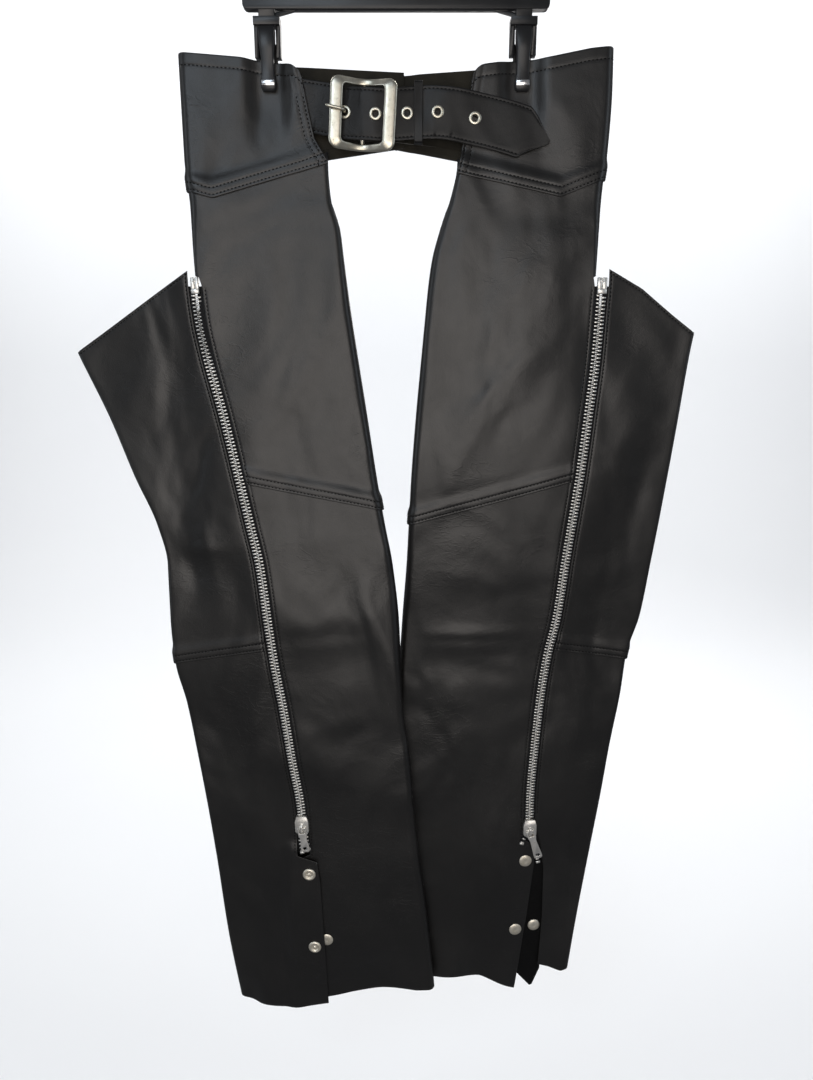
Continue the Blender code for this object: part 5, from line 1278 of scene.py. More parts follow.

# %% [markdown]
# ### The strip behind the left vent
# Below the left zip the two vent edges hang apart, and a strip of leather behind them keeps the
# weather out. Its lower corner hangs below the hems on either side. It lies in the shade of both
# edges, and its darker, duller leather is painted shade for that shade.


# %% Cut the vent strip
def vent_underlap(columns=12, steps=48):
    under = LAP + 0.6 * MM
    rows = ((-905, 139, 176), (-950, 136, 182), (-1000, 133, 181), (-1050, 128, 174), (-1078, 124, 168))
    left_edge = straight_through([(z, a) for z, a, _ in rows])
    right_edge = straight_through([(z, b) for z, _, b in rows])
    grid = []
    for i in range(steps + 1):
        row = []
        for j in range(columns + 1):
            share = j / columns
            z = mix(-905 * MM, mix(-1072, -1087, share) * MM, i / steps)
            x = mix(left_edge(z), right_edge(z), share)
            row.append(LEFT.layer_point(-1, x, z, -under - 2.2 * MM * (1 - share)))
        grid.append(row)
    tip = LEFT.layer_point(-1, 158 * MM, -1111.5 * MM, -under)
    foot = grid[-1]
    for k in (0.35, 0.7, 1.0):
        last = []
        for j in range(columns + 1):
            share = j / columns
            if share < 0.62:
                point = foot[0].lerp(tip, share / 0.62)
            else:
                point = tip.lerp(foot[-1], (share - 0.62) / 0.38)
            last.append(foot[j].lerp(point - Vector((0, 0, 1.5 * MM)), k))
        grid.append(last)
    # the strip's darker, duller leather is painted shade
    return Panel("left_vent_underlap", [grid], leg_outward(LEFT), face=PAINTED_SHADE_FACE)


VENT_STRIP = vent_underlap()

# %% [markdown]
# ## Stitches
# Every seam on these chaps is sewn with black thread in stitches 3.6 mm apart. From a step
# away they read as a dotted line, so each stitch is a small grain of thread, round on top, whose
# ends dip into the leather. The seams follow rows and columns of the panels' own grids.


# %% A stitch, and how to sew a line of them
STITCH_PITCH = 3.6 * MM
STITCH_LENGTH = 2.3 * MM
THREAD_RADIUS = 0.55 * MM


def spaced(line, pitch):
    """Places every pitch along a line of (point, normal): each (point, ahead, normal)."""
    places = []
    run = pitch / 2
    for (a, na), (b, nb) in zip(line, line[1:]):
        length = (b - a).length
        while length > 1e-9 and run < length:
            t = run / length
            places.append((a.lerp(b, t), (b - a).normalized(), na.lerp(nb, t).normalized()))
            run += pitch
        run -= length
    return places


def mesh_object(name, verts, faces, material, body="garment", slot_name=None):
    mesh = bpy.data.meshes.new(name)
    mesh.from_pydata(verts, [], faces)
    mesh.shade_smooth()
    mesh.materials.append(material)
    obj = bpy.data.objects.new(name, mesh)
    bpy.context.scene.collection.objects.link(obj)
    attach(obj, body)
    return obj


def sew(panel, lines, pitch=STITCH_PITCH):
    """One object that holds every stitch along the lines, and belongs to its panel."""
    verts, faces = [], []
    shape = ((-1.0, 0.30, -0.62), (-0.72, 0.86, -0.10), (0.0, 1.0, 0.22), (0.72, 0.86, -0.10), (1.0, 0.30, -0.62))
    sides = 6
    for line in lines:
        for point, ahead, normal in spaced(line, pitch):
            side = ahead.cross(normal).normalized()
            first = len(verts)
            for t, thick, lift in shape:
                centre = point + ahead * (t * STITCH_LENGTH / 2) + normal * (THREAD_RADIUS * lift)
                for k in range(sides):
                    turn = 2 * math.pi * k / sides
                    round_about = side * math.cos(turn) + normal * math.sin(turn)
                    verts.append(centre + round_about * (THREAD_RADIUS * thick))
            for ring in range(len(shape) - 1):
                for k in range(sides):
                    a = first + ring * sides + k
                    b = first + ring * sides + (k + 1) % sides
                    faces.append((a, b, b + sides, a + sides))
            faces.append(tuple(first + k for k in reversed(range(sides))))
            faces.append(tuple(first + (len(shape) - 1) * sides + k for k in range(sides)))
    print(panel.name, "stitches:", len(verts) // (sides * len(shape)))
    thread = mesh_object(panel.name + "_stitches", verts, faces, THREAD, slot_name="leather")
    panel.trim.append(thread)


def hem_row(distance):
    return -(2 + list(reversed(HEM_STEPS)).index(distance))


def top_row(distance):
    return 1 + TOP_STEPS.index(distance)


def edge_column(distance):
    return 1 + EDGE_STEPS.index(distance)


def part_of(line, high=1.0, low=-9.0):
    """The part of a line between two heights."""
    return [(p, n) for p, n in line if low <= p.z <= high]


# %% Sew the panels
for leg, panel in ((RIGHT, RIGHT_YOKE), (LEFT, LEFT_YOKE)):
    lines = [panel.row_line(hem_row(2.6)), panel.row_line(hem_row(8.5)), panel.row_line(top_row(10.0))]
    top_corner = panel.rows[top_row(14)][0].z
    for column in (edge_column(2.5), len(EDGE_STEPS) + 1):
        lines.append(part_of(panel.column_line(column), high=top_corner))
    if leg is LEFT:
        lines.append(panel.column_line(len(panel.rows[0]) - 2, top_row(10.0)))
    sew(panel, lines)
for side in ("right", "left"):
    panel = THIGH_FRONTS[side]
    lines = [panel.row_line(hem_row(2.6)), panel.row_line(hem_row(8.5)),
             part_of(panel.column_line(edge_column(2.5)), high=-314 * MM)]
    sew(panel, lines)
    panel = SHIN_FRONTS[side]
    sew(panel, [part_of(panel.column_line(edge_column(2.5), 3), low=VENT_STEP_TOP)])
    panel = THIGH_BACKS[side]
    lines = [panel.row_line(hem_row(2.6)), panel.row_line(hem_row(8.5)), panel.row_line(top_row(2.6)),
             panel.column_line(edge_column(2.5))]
    sew(panel, lines)
    panel = CALF_BACKS[side]
    low = VENT_STEP_TOP if side == "right" else -884 * MM
    sew(panel, [part_of(panel.column_line(edge_column(2.5), 3), low=low)])

# %% [markdown]
# ## Zips
# A metal zip is two woven tapes with a row of separate teeth clamped along each. The teeth of one
# side stand half a step from the other's and their heads cross in the middle, which is what makes
# the bright ladder in the picture. Each tooth here is its own small piece, so the ladder catches
# light as it should from any side.


# %% Tooth, tape and tooth rows
TOOTH_PITCH = 3.5 * MM


def slider_frame(leg, z):
    """Frame on the zip at a height, turned along the zip's own direction."""
    step = 6 * MM
    turn = math.atan2(leg.zip(z + step) - leg.zip(z - step), 2 * step)
    return leg.surface_frame(leg.zip(z), z, 0.0, turn)


def soft_box(low, high, bevel):
    """Corners and faces of a box with rounded edges, in millimetres."""
    bm = bmesh.new()
    bmesh.ops.create_cube(bm, size=1.0)
    bmesh.ops.scale(bm, vec=Vector(high) - Vector(low), verts=bm.verts)
    bmesh.ops.translate(bm, vec=(Vector(high) + Vector(low)) / 2, verts=bm.verts)
    if bevel:
        bmesh.ops.bevel(bm, geom=bm.edges, offset=bevel, segments=1, profile=0.5, affect="EDGES")
    verts = [v.co.copy() * MM for v in bm.verts]
    faces = [tuple(v.index for v in f.verts) for f in bm.faces]
    bm.free()
    return verts, faces


def join(*parts):
    verts, faces = [], []
    for part_verts, part_faces in parts:
        faces += [tuple(i + len(verts) for i in face) for face in part_faces]
        verts += part_verts
    return verts, faces


def placed(part, matrix):
    return [matrix @ v for v in part[0]], part[1]


TOOTH = join(soft_box((0.7, -0.74, -1.3), (4.45, 0.74, 1.15), 0.28),
             soft_box((-1.1, -0.56, -1.1), (1.1, 0.56, 0.9), 0.3))
LOOSE_TOOTH = join(soft_box((-1.9, -0.72, -0.85), (1.9, 0.72, 0.95), 0.28))


def chain_twist(leg, z):
    """How far the chain turns on its side: at its top, the right zip faces outwards."""
    if leg is LEFT:
        return 0.0
    return math.radians(52) * (1.0 - smoothstep((-345 * MM - z) / (80 * MM))) * smoothstep((-321 * MM - z) / (12 * MM))


def closed_teeth(leg, top, bottom):
    """Both rows of teeth from one height to another, half a step apart."""
    parts = []
    z, number = top, 0
    while z > bottom:
        here = slider_frame(leg, z) @ Matrix.Rotation(chain_twist(leg, z), 4, "Y")
        side = 1 if number % 2 else -1
        lift = here @ Matrix.Translation((0, 0, -0.45 * MM)) @ Matrix.Diagonal((side, 1, 1, 1))
        verts, faces = placed(TOOTH, lift)
        parts.append((verts, faces if side > 0 else [tuple(reversed(f)) for f in faces]))
        drop = (here.to_3x3() @ Vector((0, 1, 0))).z
        z -= TOOTH_PITCH / 2 * drop
        number += 1
    return join(*parts)


def loose_teeth(leg, path):
    """One tape's teeth below the slider, on a strip of tape, with a stop at the end."""
    line = []
    for x, z, width, out in path:
        point = leg.layer_point(-1, x * MM, z * MM, out * MM - 1.0 * MM)
        normal = (leg.layer_point(-1, x * MM, z * MM, out * MM) - point).normalized()
        line.append((point, normal))
    teeth, tape = [], []
    places = spaced(line, TOOTH_PITCH * 0.62)
    for number, (point, ahead, normal) in enumerate(places):
        side = ahead.cross(normal).normalized()
        turn = Matrix((side, ahead, normal)).transposed().to_4x4()
        turn.translation = point
        if number == len(places) - 1:
            stop = soft_box((-2.4, -1.5, -0.9), (2.4, 1.3, 1.0), 0.5)
            teeth.append(placed(stop, turn))
        elif number % 2 == 0:
            teeth.append(placed(LOOSE_TOOTH, turn))
        tape.append(placed(soft_box((-2.2, -1.2, -0.95), (2.2, 1.2, -0.45), 0), turn))
    return join(*teeth), join(*tape)


def tape_strip(name, leg, side, top, bottom):
    """One woven tape: from under the teeth to well under the leather, with a corded rib."""
    spans = (1.2, 2.2, 4.2, 4.8, 5.3, 5.8, 6.6, 9.0, 12.0, 15.0)
    ribs = (0.0, 0.0, 0.0, 0.45, 0.6, 0.45, 0.0, 0.0, 0.0, 0.0)
    steps = round((top - bottom) / (5 * MM))
    rows = []
    for i in range(steps + 1):
        z = mix(top, bottom, i / steps)
        here = slider_frame(leg, z)
        row = []
        for u, rib in zip(spans, ribs):
            x = (here @ Vector((side * u * MM, 0, 0))).x
            row.append(leg.layer_point(-1, x, z, -(LEATHER + TAPE_GAP) + rib * MM))
        rows.append(row)
    verts = [p for row in rows for p in row]
    n = len(spans)
    faces = [(i * n + j, i * n + j + 1, (i + 1) * n + j + 1, (i + 1) * n + j)
             for i in range(steps) for j in range(n - 1)]
    obj = mesh_object(name, verts, faces, ZIP_CLOTH, slot_name="zip_tape")
    shell = obj.modifiers.new("thickness", "SOLIDIFY")
    shell.thickness = 0.8 * MM
    shell.offset = 1.0 if side * -1 > 0 else -1.0
    length = max(arc(column) for column in zip(*rows))
    max(arc(row) for row in rows)
    return obj


# %% Make both zips
def metal_piece(name, part, nodes, body="garment", material=None, slot_name="zip_metal"):
    obj = mesh_object(name, part[0], part[1], material or ZIP_METAL, body, slot_name)
    obj.data.set_sharp_from_angle(angle=math.radians(50))
    if nodes:
        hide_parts(*nodes)
    return obj


def zip_box(leg, z, width):
    """Box at the top: two plates side by side, one for each tape, clasped at their foot."""
    here = slider_frame(leg, z)
    w = width / 2
    part = join(soft_box((-w, -6.6, -1.5), (-0.2, 7.5, 2.2), 0.55), soft_box((0.2, -6.6, -1.5), (w, 7.5, 2.2), 0.55),
                soft_box((-w, -7.5, -1.5), (w, -2.6, 2.7), 0.6), soft_box((-w * 0.55, 3.4, 1.9), (w * 0.55, 4.6, 2.5), 0.2))
    return metal_piece(leg.name + "_zip_top_box", placed(part, here), [leg.name + "_zip_box"])


TAILS = {
    "right": (((-106.6, -884.6, 4, 2.2), (-107.0, -895, 4, 2.2), (-106.0, -903, 4, 2.2), (-105.5, -908.5, 5, 2.4),
               (-105.0, -911.5, 5, 2.4)),
              ((-100.6, -884.6, 4, 2.2), (-99.5, -895, 4, 2.2), (-98.0, -906, 4.5, 2.4))),
    "left": (((145.5, -906.6, 4, 2.2), (142.5, -910, 4, 2.2), (140.5, -914, 5, 2.4), (139.5, -918, 5, 2.4)),
             ((150.5, -906.6, 4, 2.2), (153.5, -918, 4, 2.2), (157.0, -932, 4, 2.2), (159.5, -942, 5, 2.4))),
}
for leg, slider_z, box_width, tape_end in ((RIGHT, -874, 7.5, -911), (LEFT, -896, 9.0, -930)):
    teeth = closed_teeth(leg, -321.5 * MM, (slider_z - 4) * MM)
    metal_piece(leg.name + "_zip_teeth", teeth, [leg.name + "_zip_chain"])
    zip_box(leg, -312.5 * MM, box_width)
    for side in (-1, 1):
        name = f"{leg.name}_zip_cloth_{'inner' if side == -leg.side else 'outer'}"
        strip = tape_strip(name, leg, side, -313 * MM, tape_end * MM)
    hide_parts(leg.name + "_zip_tape")
    for number, path in enumerate(TAILS[leg.name], 1):
        teeth, tape = loose_teeth(leg, path)
        metal_piece(f"{leg.name}_zip_loose_teeth_{number}", teeth, [f"{leg.name}_zip_tail_{number}"])
        mesh_object(f"{leg.name}_zip_loose_tape_{number}", *tape, ZIP_CLOTH, slot_name="zip_tape")
    print(leg.name, "zip made")


# %% [markdown]
# The slider and its pull already have their true shape in the CAD, as a casting with a channel, an
# arch and a stamped tab. They only need their edges rounded, as any die casting's are, and the
# metal. The pull swings on its joint, so it stays the CAD node that rides on its own body.


# %% Round the edges of the cast and moulded CAD nodes
def refine(node_name, width, material, segments=2, angle=30):
    node = frame["nodes"][node_name]
    weld = node.modifiers.new("weld", "WELD")
    weld.merge_threshold = 0.02 * MM
    rounding = node.modifiers.new("rounded edges", "BEVEL")
    rounding.width = width
    rounding.segments = segments
    rounding.limit_method = "ANGLE"
    rounding.angle_limit = math.radians(angle)
    rounding.harden_normals = True
    node.data.materials.clear()
    node.data.materials.append(material)
    node.data.shade_smooth()
    node.data.set_sharp_from_angle(angle=math.radians(angle))
    return node


for side in ("right", "left"):
    refine(side + "_zip_slider", 0.3 * MM, ZIP_METAL)
    refine(side + "_zip_pull", 0.22 * MM, ZIP_METAL)

# %% [markdown]
# ## Snaps, eyelets and buckle
# Turned metal parts are a profile swept round an axis. A snap's open half is a dished ring with a
# post, its closed half a low cap. The eyelets are rolled outwards over the belt's face.


# %% Turn the snaps and eyelets
def lathe(profile, matrix, steps=40, ring=False):
    """A turned shape: its profile in millimetres as (radius, height), from the middle outwards."""
    verts, faces = [], []
    starts = []
    for radius, height in profile:
        starts.append(len(verts))
        count = 1 if radius == 0 else steps
        for k in range(count):
            turn = 2 * math.pi * k / steps
            verts.append(matrix @ (Vector((radius * math.cos(turn), radius * math.sin(turn), height)) * MM))
    pairs = list(zip(range(len(profile)), range(1, len(profile))))
    if ring:
        pairs.append((len(profile) - 1, 0))
    for a, b in pairs:
        for k in range(steps):
            n = (k + 1) % steps
            if profile[a][0] == 0:
                faces.append((starts[a], starts[b] + k, starts[b] + n))
            elif profile[b][0] == 0:
                faces.append((starts[a] + k, starts[b], starts[a] + n))
            else:
                faces.append((starts[a] + k, starts[b] + k, starts[b] + n, starts[a] + n))
    return verts, faces


def ring_snap(node, leg, x, z, out):
    profile = ((0, 1.15), (0.7, 1.2), (1.15, 1.0), (1.35, 0.5), (1.7, 0.34), (3.4, 0.34), (3.8, 0.55), (4.1, 1.05),
               (4.6, 1.4), (5.3, 1.5), (6.1, 1.35), (6.8, 0.85), (7.15, 0.35), (7.2, 0.0), (0, 0))
    return metal_piece(node + "_metal", lathe(profile, leg.surface_frame(x * MM, z * MM, out)), [node],
                       material=SNAP_METAL, slot_name="nickel")


def cap_snap(node, leg, x, z, out, height=1.2):
    profile = ((0, height * 0.93), (1.2, height * 0.94), (1.6, height), (3.4, height * 0.96), (4.8, height * 0.86),
               (5.8, height * 0.68), (6.6, height * 0.42), (7.05, 0.28), (7.2, 0.1), (7.2, 0.0), (0, 0))
    return metal_piece(node + "_metal", lathe(profile, leg.surface_frame(x * MM, z * MM, out)), [node],
                       material=SNAP_METAL, slot_name="nickel")


on_flap = LAP + FLAP_LIFT + SEAM_GAP
ring_snap("right_ring_snap_1", RIGHT, -98, -935, on_flap)
ring_snap("right_ring_snap_2", RIGHT, -94, -1028, on_flap)
cap_snap("right_cap_snap", RIGHT, -81, -1021, SEAM_GAP)
cap_snap("left_cap_snap_1", LEFT, 145, -940, SEAM_GAP)
cap_snap("left_cap_snap_2", LEFT, 136, -1030, 0.7 * MM)
cap_snap("left_stud_snap", LEFT, 158.5, -1028, -LAP - 1.1 * MM + SEAM_GAP, 1.6)
print("snaps made")

# %% [markdown]
# ## Belt and buckle
# The belt is a thick strap sewn under the right yoke. It runs through the buckle and lies over the
# left yoke, where its pointed tip hangs a little. A thinner strap from the left yoke is folded
# round the buckle's centre bar, and a keeper holds the two together.

# %% Where the belt runs
BELT_COLUMNS = ("x", "z", "y")
BELT_PATH = (
    (-93, -155.0, -2.2),
    (-84, -155.7, -2.3),
    (-73, -157.3, -2.5),
    (-60, -160, -5.2),
    (-46, -163, -8.4),
    (-33, -164.5, -11.3),
    (-24, -164.7, -11.6),
    (-6, -165.4, -11.6),
    (12, -164.3, -11.5),
    (34, -163.2, -11.1),
    (52, -164.5, -10.6),
    (72, -168.5, -10.2),
    (98, -174.5, -10.4),
    (118, -180.5, -10.7),
    (139, -188, -10.9),
)
EYELETS_X = (-46, -18, 10, 37, 71)
BELT_TIP = 23 * MM
BUCKLE_CENTRE = Vector((-30 * MM, -16.6 * MM, -165 * MM))
BUCKLE_TURN = math.radians(3.5)
BUCKLE_BOW = 9.8 * MM
BUCKLE_THICKNESS = 3.8 * MM
CENTRE_BAR_Y = -5.4 * MM
CENTRE_BAR_RADIUS = 2.0 * MM


def belt_point(share, across):
    """A point on the belt's middle face: share along it from 0 to 1, across from -1 to 1."""
    rows = [Vector((x, y, z)) * MM for x, z, y in BELT_PATH]
    position = share * (len(rows) - 1)
    i = min(int(position), len(rows) - 2)
    t = position - i
    a, b = rows[i], rows[i + 1]
    before = rows[i - 1] if i > 0 else a - (b - a)
    after = rows[i + 2] if i + 2 < len(rows) else b + (b - a)
    slope_a = (b - before) / 2
    slope_b = (after - a) / 2
    point = (a * (2 * t ** 3 - 3 * t ** 2 + 1) + slope_a * (t ** 3 - 2 * t ** 2 + t)
             + b * (3 * t ** 2 - 2 * t ** 3) + slope_b * (t ** 3 - t ** 2))
    ahead = (b - a).normalized()
    up = Vector((-ahead.z, 0, ahead.x)).normalized()
    return point + up * (across * BELT_WIDTH / 2)


def belt_share(x):
    """How far along the belt a place in X is."""
    rows = [row[0] * MM for row in BELT_PATH]
    i = max(k for k in range(len(rows) - 1) if rows[k] <= x)
    return (i + (x - rows[i]) / (rows[i + 1] - rows[i])) / (len(rows) - 1)


def belt_frame(x):
    """Frame on the belt's front face at a place in X: Z towards the viewer."""
    share = belt_share(x)
    here = belt_point(share, 0.0)
    ahead = (belt_point(share + 0.01, 0.0) - belt_point(share - 0.01, 0.0)).normalized()
    up = (belt_point(share, 1.0) - belt_point(share, -1.0)).normalized()
    normal = ahead.cross(up).normalized()
    up = normal.cross(ahead).normalized()
    frame = Matrix((ahead, up, normal)).transposed().to_4x4()
    frame.translation = here + normal * (BELT_THICKNESS / 2)
    return frame


# %% Cut the belt
def belt_strap():
    edge = (0.0, 0.45, 1.1, 1.9, 2.7, 3.4, 4.4, 6.5, 9.5, 13.0, 17.5)
    across = [-22.0 + d for d in edge] + [0.0] + [22.0 - d for d in reversed(edge)]
    start_of_tip = belt_share((BELT_PATH[-1][0] * MM) - BELT_TIP)
    steps = 120
    rows = []
    for i in range(steps + 1):
        share = i / steps
        half = 1.0
        if share > start_of_tip:
            half = mix(1.0, 0.04, (share - start_of_tip) / (1.0 - start_of_tip))
        row = []
        for d in across:
            depth = groove(22.0 * MM - abs(d) * MM, (2.7 * MM,)) if half > 0.5 else 0.0
            middle = belt_point(share, half * d / 22.0)
            row.append(middle - Vector((0, BELT_THICKNESS / 2 + depth, 0)))
        rows.append(row)
    strap = Panel("belt_strap", [rows], lambda point: Vector((0, -1, 0)), BELT_THICKNESS, BELT_FACE)
    # the belt's cut and rounded edges take the pale edge finish: edge wear with a painted highlight
    strap.obj.data.materials[2] = EDGE_WEAR_AND_HIGHLIGHT
    strap.obj.modifiers["rounded edge"].width = 0.6 * MM
    strap.obj.modifiers["rounded edge"].material = 2
    return strap


def punch_holes(strap):
    """The eyelets' holes, as one cutter of five short cylinders."""
    bm = bmesh.new()
    radius = EYELET_HOLE / 2 + 1.1 * MM
    for x in EYELETS_X:
        made = bmesh.ops.create_cone(bm, cap_ends=True, segments=24, radius1=radius, radius2=radius, depth=10 * MM)
        bmesh.ops.transform(bm, matrix=belt_frame(x * MM), verts=made["verts"])
    mesh = bpy.data.meshes.new("hole_cutter")
    bm.to_mesh(mesh)
    bm.free()
    cutter = bpy.data.objects.new("hole_cutter", mesh)
    bpy.context.scene.collection.objects.link(cutter)
    cutter.hide_render = True
    cutter.display_type = "WIRE"
    cut = strap.obj.modifiers.new("eyelet holes", "BOOLEAN")
    cut.operation = "DIFFERENCE"
    cut.object = cutter


BELT = belt_strap()
punch_holes(BELT)
columns = len(BELT.rows[0])
sew(BELT, [BELT.column_line(4, 4, 112), BELT.column_line(columns - 5, 4, 112)])
for number, x in enumerate(EYELETS_X, 1):
    hole, rim = EYELET_HOLE / 2 / MM, EYELET_DIAMETER / 2 / MM
    profile = ((hole, -3.0), (hole, 0.8), (hole + 0.15, 1.25), (hole + 0.5, 1.55), (hole + 1.1, 1.65),
               (rim - 0.9, 1.55), (rim - 0.35, 1.3), (rim - 0.05, 0.85), (rim, 0.3), (hole + 0.7, 0.3),
               (hole + 0.7, -3.0))
    metal_piece(f"belt_eyelet_{number}_metal", lathe(profile, belt_frame(x * MM), 36, ring=True),
                [f"belt_eyelet_{number}"], material=NICKEL, slot_name="nickel")


# %% Fold the buckle strap and bend the keeper
def smooth_path(points, per_span=4):
    """More points on a soft curve through the given ones."""
    out = []
    for i in range(len(points) - 1):
        a, b = points[i], points[i + 1]
        before = points[i - 1] if i else a - (b - a)
        after = points[i + 2] if i + 2 < len(points) else b + (b - a)
        for k in range(per_span):
            t = k / per_span
            out.append(a * (2 * t ** 3 - 3 * t ** 2 + 1) + (b - before) / 2 * (t ** 3 - 2 * t ** 2 + t)
                       + b * (3 * t ** 2 - 2 * t ** 3) + (after - a) / 2 * (t ** 3 - t ** 2))
    return out + [points[-1]]


def buckle_strap():
    outer = CENTRE_BAR_RADIUS + 0.3 * MM + BUCKLE_STRAP_THICKNESS
    path = [(84, -3.2), (72, -3.2), (60, -3.7), (45, -7.0), (30, -9.5), (10, -9.7), (-8, -9.7), (-22, -9.7)]
    points = [Vector((x * MM, y * MM)) for x, y in path]
    for i in range(1, 8):
        angle = math.radians(-90 - 180 * i / 8)
        points.append(Vector((BUCKLE_CENTRE.x + outer * math.cos(angle), CENTRE_BAR_Y + outer * math.sin(angle))))
    points += [Vector((-22 * MM, CENTRE_BAR_Y + outer)), Vector((-10 * MM, CENTRE_BAR_Y + outer))]
    bands = (-1.0, -0.97, -0.93, -0.85, -0.7, -0.5, -0.35, -0.2, 0.2, 0.35, 0.5, 0.7, 0.85, 0.93, 0.97, 1.0)
    rows = []
    for place in smooth_path(points, 3):
        x, y = place
        fall = belt_point(belt_share(max(x, -93 * MM)), 0.0).z
        half = BELT_WIDTH / 2 - 1 * MM
        lean = math.sin(BUCKLE_TURN) * (1.0 - smoothstep((x + 20 * MM) / (60 * MM)))
        rows.append([Vector((x + band * half * lean, y, fall + band * half)) for band in bands])
    first, last = 7 * 3, 15 * 3
    left, right = [row[:8] for row in rows], [row[8:] for row in rows]
    middle_a = [row[7:9] for row in rows[:first + 1]]
    middle_b = [row[7:9] for row in rows[last:]]
    outward = lambda point: Vector((0, -1, 0)) if point.y < CENTRE_BAR_Y else Vector((0, 1, 0))
    return Panel("buckle_strap", [left, right, middle_a, middle_b], outward, BUCKLE_STRAP_THICKNESS, BELT_FACE, BELT_WIDTH - 2 * MM)


def rounded_outline(width, height, radius, centre=(0.0, 0.0), steps=3):
    """Closed outline of a rectangle with round corners, anticlockwise."""
    points = []
    for corner in range(4):
        sx = 1 if corner in (0, 3) else -1
        sy = 1 if corner in (0, 1) else -1
        for i in range(steps + 1):
            angle = math.radians(90 * (corner + i / steps))
            x = centre[0] + sx * (width / 2 - radius) + radius * math.cos(angle)
            y = centre[1] + sy * (height / 2 - radius) + radius * math.sin(angle)
            points.append((x, y))
    return points


def belt_keeper():
    width, x, wall = 7.4 * MM, 19.9 * MM, 1.8 * MM
    low, high = (-13.5 * MM, -187.6 * MM), (-6.6 * MM, -139.4 * MM)
    centre = ((low[0] + high[0]) / 2, (low[1] + high[1]) / 2)
    size = (high[0] - low[0] + 2 * wall, high[1] - low[1] + 2 * wall)
    ring = rounded_outline(size[0], size[1], 2.6 * MM, centre, 6)
    across = (-0.5, -0.42, -0.3, 0.0, 0.3, 0.42, 0.5)
    rows = [[Vector((x + a * width, y, z)) for a in across] for y, z in ring + ring[:1]]
    outward = lambda point: Vector((0, point.y - centre[0], point.z - centre[1]))
    keeper = Panel("belt_keeper", [rows], outward, wall, BELT_FACE)
    PANELS.remove(keeper)
    BUCKLE_STRAP.trim.append(keeper.obj)
    return keeper


BUCKLE_STRAP = buckle_strap()
KEEPER = belt_keeper()

# %% [markdown]
# The buckle is one casting: four bars with round corners, bowed so that the belt lies flat behind
# it, and a centre bar. It is lofted from one smooth cross-section that widens on the side bars.
# The prong is a bent wire, hooked round the centre bar and through the first eyelet.


# %% Cast the buckle and bend the prong
def buckle_section(width, thickness, count=22):
    """A bar's cross-section as (across, out): a rounded oblong, flatter behind."""
    points = []
    for k in range(count):
        turn = 2 * math.pi * k / count
        c, s = math.cos(turn), math.sin(turn)
        a = width / 2 * math.copysign(abs(c) ** 0.62, c)
        o = thickness / 2 * math.copysign(abs(s) ** (0.8 if s > 0 else 0.45), s)
        points.append((a, o))
    return points


def buckle_frame():
    size = BUCKLE_SIZE / 2
    outer_radius, inner_radius = 8 * MM, 3.5 * MM
    inner_x, inner_z = size - BUCKLE_SIDE_BAR, size - BUCKLE_TOP_BAR
    turn = Matrix.Translation(BUCKLE_CENTRE) @ Matrix.Rotation(BUCKLE_TURN, 4, "Y")
    run = []
    corner_steps = 12
    for corner, (sx, sz) in enumerate(((1, 1), (-1, 1), (-1, -1), (1, -1))):
        for i in range(corner_steps + 1):
            angle = math.radians(90 * (corner + i / corner_steps))
            direction = Vector((math.cos(angle), 0, math.sin(angle)))
            out = Vector((sx * (size - outer_radius), 0, sz * (size - outer_radius))) + direction * outer_radius
            inn = Vector((sx * (inner_x - inner_radius), 0, sz * (inner_z - inner_radius)))
            run.append((out, inn + direction * inner_radius))
    stations = []
    for k in range(len(run)):
        a, b = run[k], run[(k + 1) % len(run)]
        stations.append(a)
        if (k + 1) % (corner_steps + 1) == 0:
            stations += [(a[0].lerp(b[0], i / 14), a[1].lerp(b[1], i / 14)) for i in range(1, 14)]
    verts, faces = [], []
    for out, inn in stations:
        middle = (out + inn) / 2
        across = (out - inn).normalized()
        width = (out - inn).length
        bow = BUCKLE_BOW * math.cos(min(abs(middle.x) / size, 1.0) * math.pi / 2) ** 2.2
        for a, o in buckle_section(width, BUCKLE_THICKNESS):
            verts.append(turn @ (middle + across * a + Vector((0, bow - o, 0))))
    n, count = 22, len(stations)
    for i in range(count):
        for j in range(n):
            k = (j + 1) % n
            faces.append((i * n + j, i * n + k, ((i + 1) % count) * n + k, ((i + 1) % count) * n + j))
    radius, half = CENTRE_BAR_RADIUS / MM, (BUCKLE_SIZE - BUCKLE_TOP_BAR) / 2 / MM
    place = turn @ Matrix.Translation((0, CENTRE_BAR_Y - BUCKLE_CENTRE.y, 0))
    bar = lathe(((0, half), (radius - 0.4, half), (radius, half - 0.4), (radius, -half + 0.4), (radius - 0.4, -half),
                 (0, -half)), place, 24)
    obj = metal_piece("buckle_casting", join((verts, faces), bar), ["buckle_frame"], material=NICKEL,
                      slot_name="nickel")
    return obj


PRONG_PATH = (
    (-40.0, -4.2, -164.4),
    (-44.6, -5.0, -163.4),
    (-46.0, -7.4, -163.0),
    (-46.5, -10.5, -163.0),
    (-46.6, -14.5, -162.9),
    (-47.4, -17.9, -162.6),
    (-49.6, -19.6, -162.0),
    (-54.0, -19.7, -161.1),
    (-60.0, -19.6, -159.8),
    (-63.0, -19.0, -159.1),
)


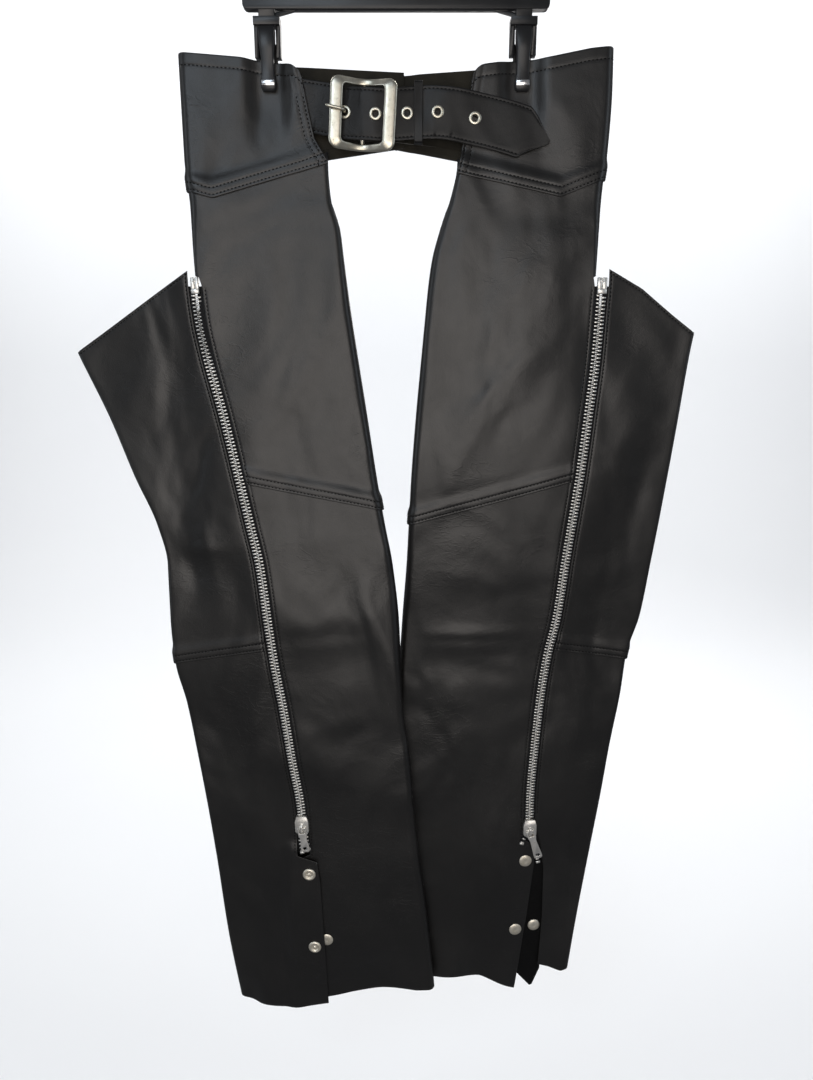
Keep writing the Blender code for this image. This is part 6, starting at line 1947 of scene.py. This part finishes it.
def wire(name, points, radius, material, node, tip=0, sides=5):
    """A round wire through points, with closed ends and an optional tapered tip."""
    curve = bpy.data.curves.new(name, "CURVE")
    curve.dimensions = "3D"
    curve.bevel_depth = radius
    curve.bevel_resolution = sides
    curve.use_fill_caps = True
    spline = curve.splines.new("POLY")
    spline.points.add(len(points) - 1)
    for number, (point, place) in enumerate(zip(spline.points, points)):
        point.co = (*place, 1.0)
        left = len(points) - 1 - number
        point.radius = 0.45 + 0.55 * math.sin(min(left / tip, 1.0) * math.pi / 2) if tip else 1.0
    spline.use_smooth = True
    obj = bpy.data.objects.new(name, curve)
    bpy.context.scene.collection.objects.link(obj)
    curve.materials.append(material)
    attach(obj, "garment")
    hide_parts(node)
    return obj


def buckle_prong():
    bar = Vector((BUCKLE_CENTRE.x, CENTRE_BAR_Y, BUCKLE_CENTRE.z))
    reach = CENTRE_BAR_RADIUS + 0.3 * MM + 1.4 * MM
    points = []
    for i in range(9):
        angle = math.radians(-60 + 235 * i / 8)
        points.append(bar + Vector((math.cos(angle) * reach, math.sin(angle) * reach, 0)))
    points += [Vector(row) * MM for row in PRONG_PATH]
    return wire("buckle_tongue", smooth_path(points, 5), 1.4 * MM, NICKEL, "buckle_prong", tip=4)


buckle_frame()
buckle_prong()
print("buckle made")

# %% [markdown]
# ## Hanger
# The hanger is the kind that shops use for trousers: a moulded bar with a spring clip at each end
# and a wire hook. Its mouldings keep their CAD shapes and get the small round edges that a mould
# leaves. The hook is one length of wire bent round a former.


# %% Finish the hanger
for side in ("right", "left"):
    refine(f"hanger_{side}_clip_back", 0.6 * MM, PLASTIC, 3)
    refine(f"hanger_{side}_clip_front", 0.5 * MM, PLASTIC, 3)
    refine(f"hanger_{side}_clip_pad", 0.2 * MM, STEEL, 2)
refine("hanger_bar", 0.9 * MM, PLASTIC, 3)
radius = HOOK_RADIUS + HOOK_WIRE / 2
foot = BAR_CENTRE_Z + BAR_HEIGHT / 2 + 0.3 * MM
hook_points = [Vector((0, 0, foot)), Vector((0, 0, -54 * MM)), Vector((1.5 * MM, 0, -48 * MM)),
               Vector((6 * MM, 0, -43.2 * MM))]
for i in range(37):
    angle = math.radians(-58 + 268 * i / 36)
    hook_points.append(Vector((radius * math.cos(angle), 0, -HOOK_RADIUS + radius * math.sin(angle))))
wire("hanger_hook_wire", smooth_path(hook_points, 3), HOOK_WIRE / 2, STEEL, "hanger_hook", tip=3)
print("hanger made")

# %% [markdown]
# ## Panel sizes
# The loop below reads each panel's cut size, area and trim once more, and sets nothing from them.


for panel in PANELS:
    width, length = panel.flat
    min(panel.area, width * length)
    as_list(panel.trim)
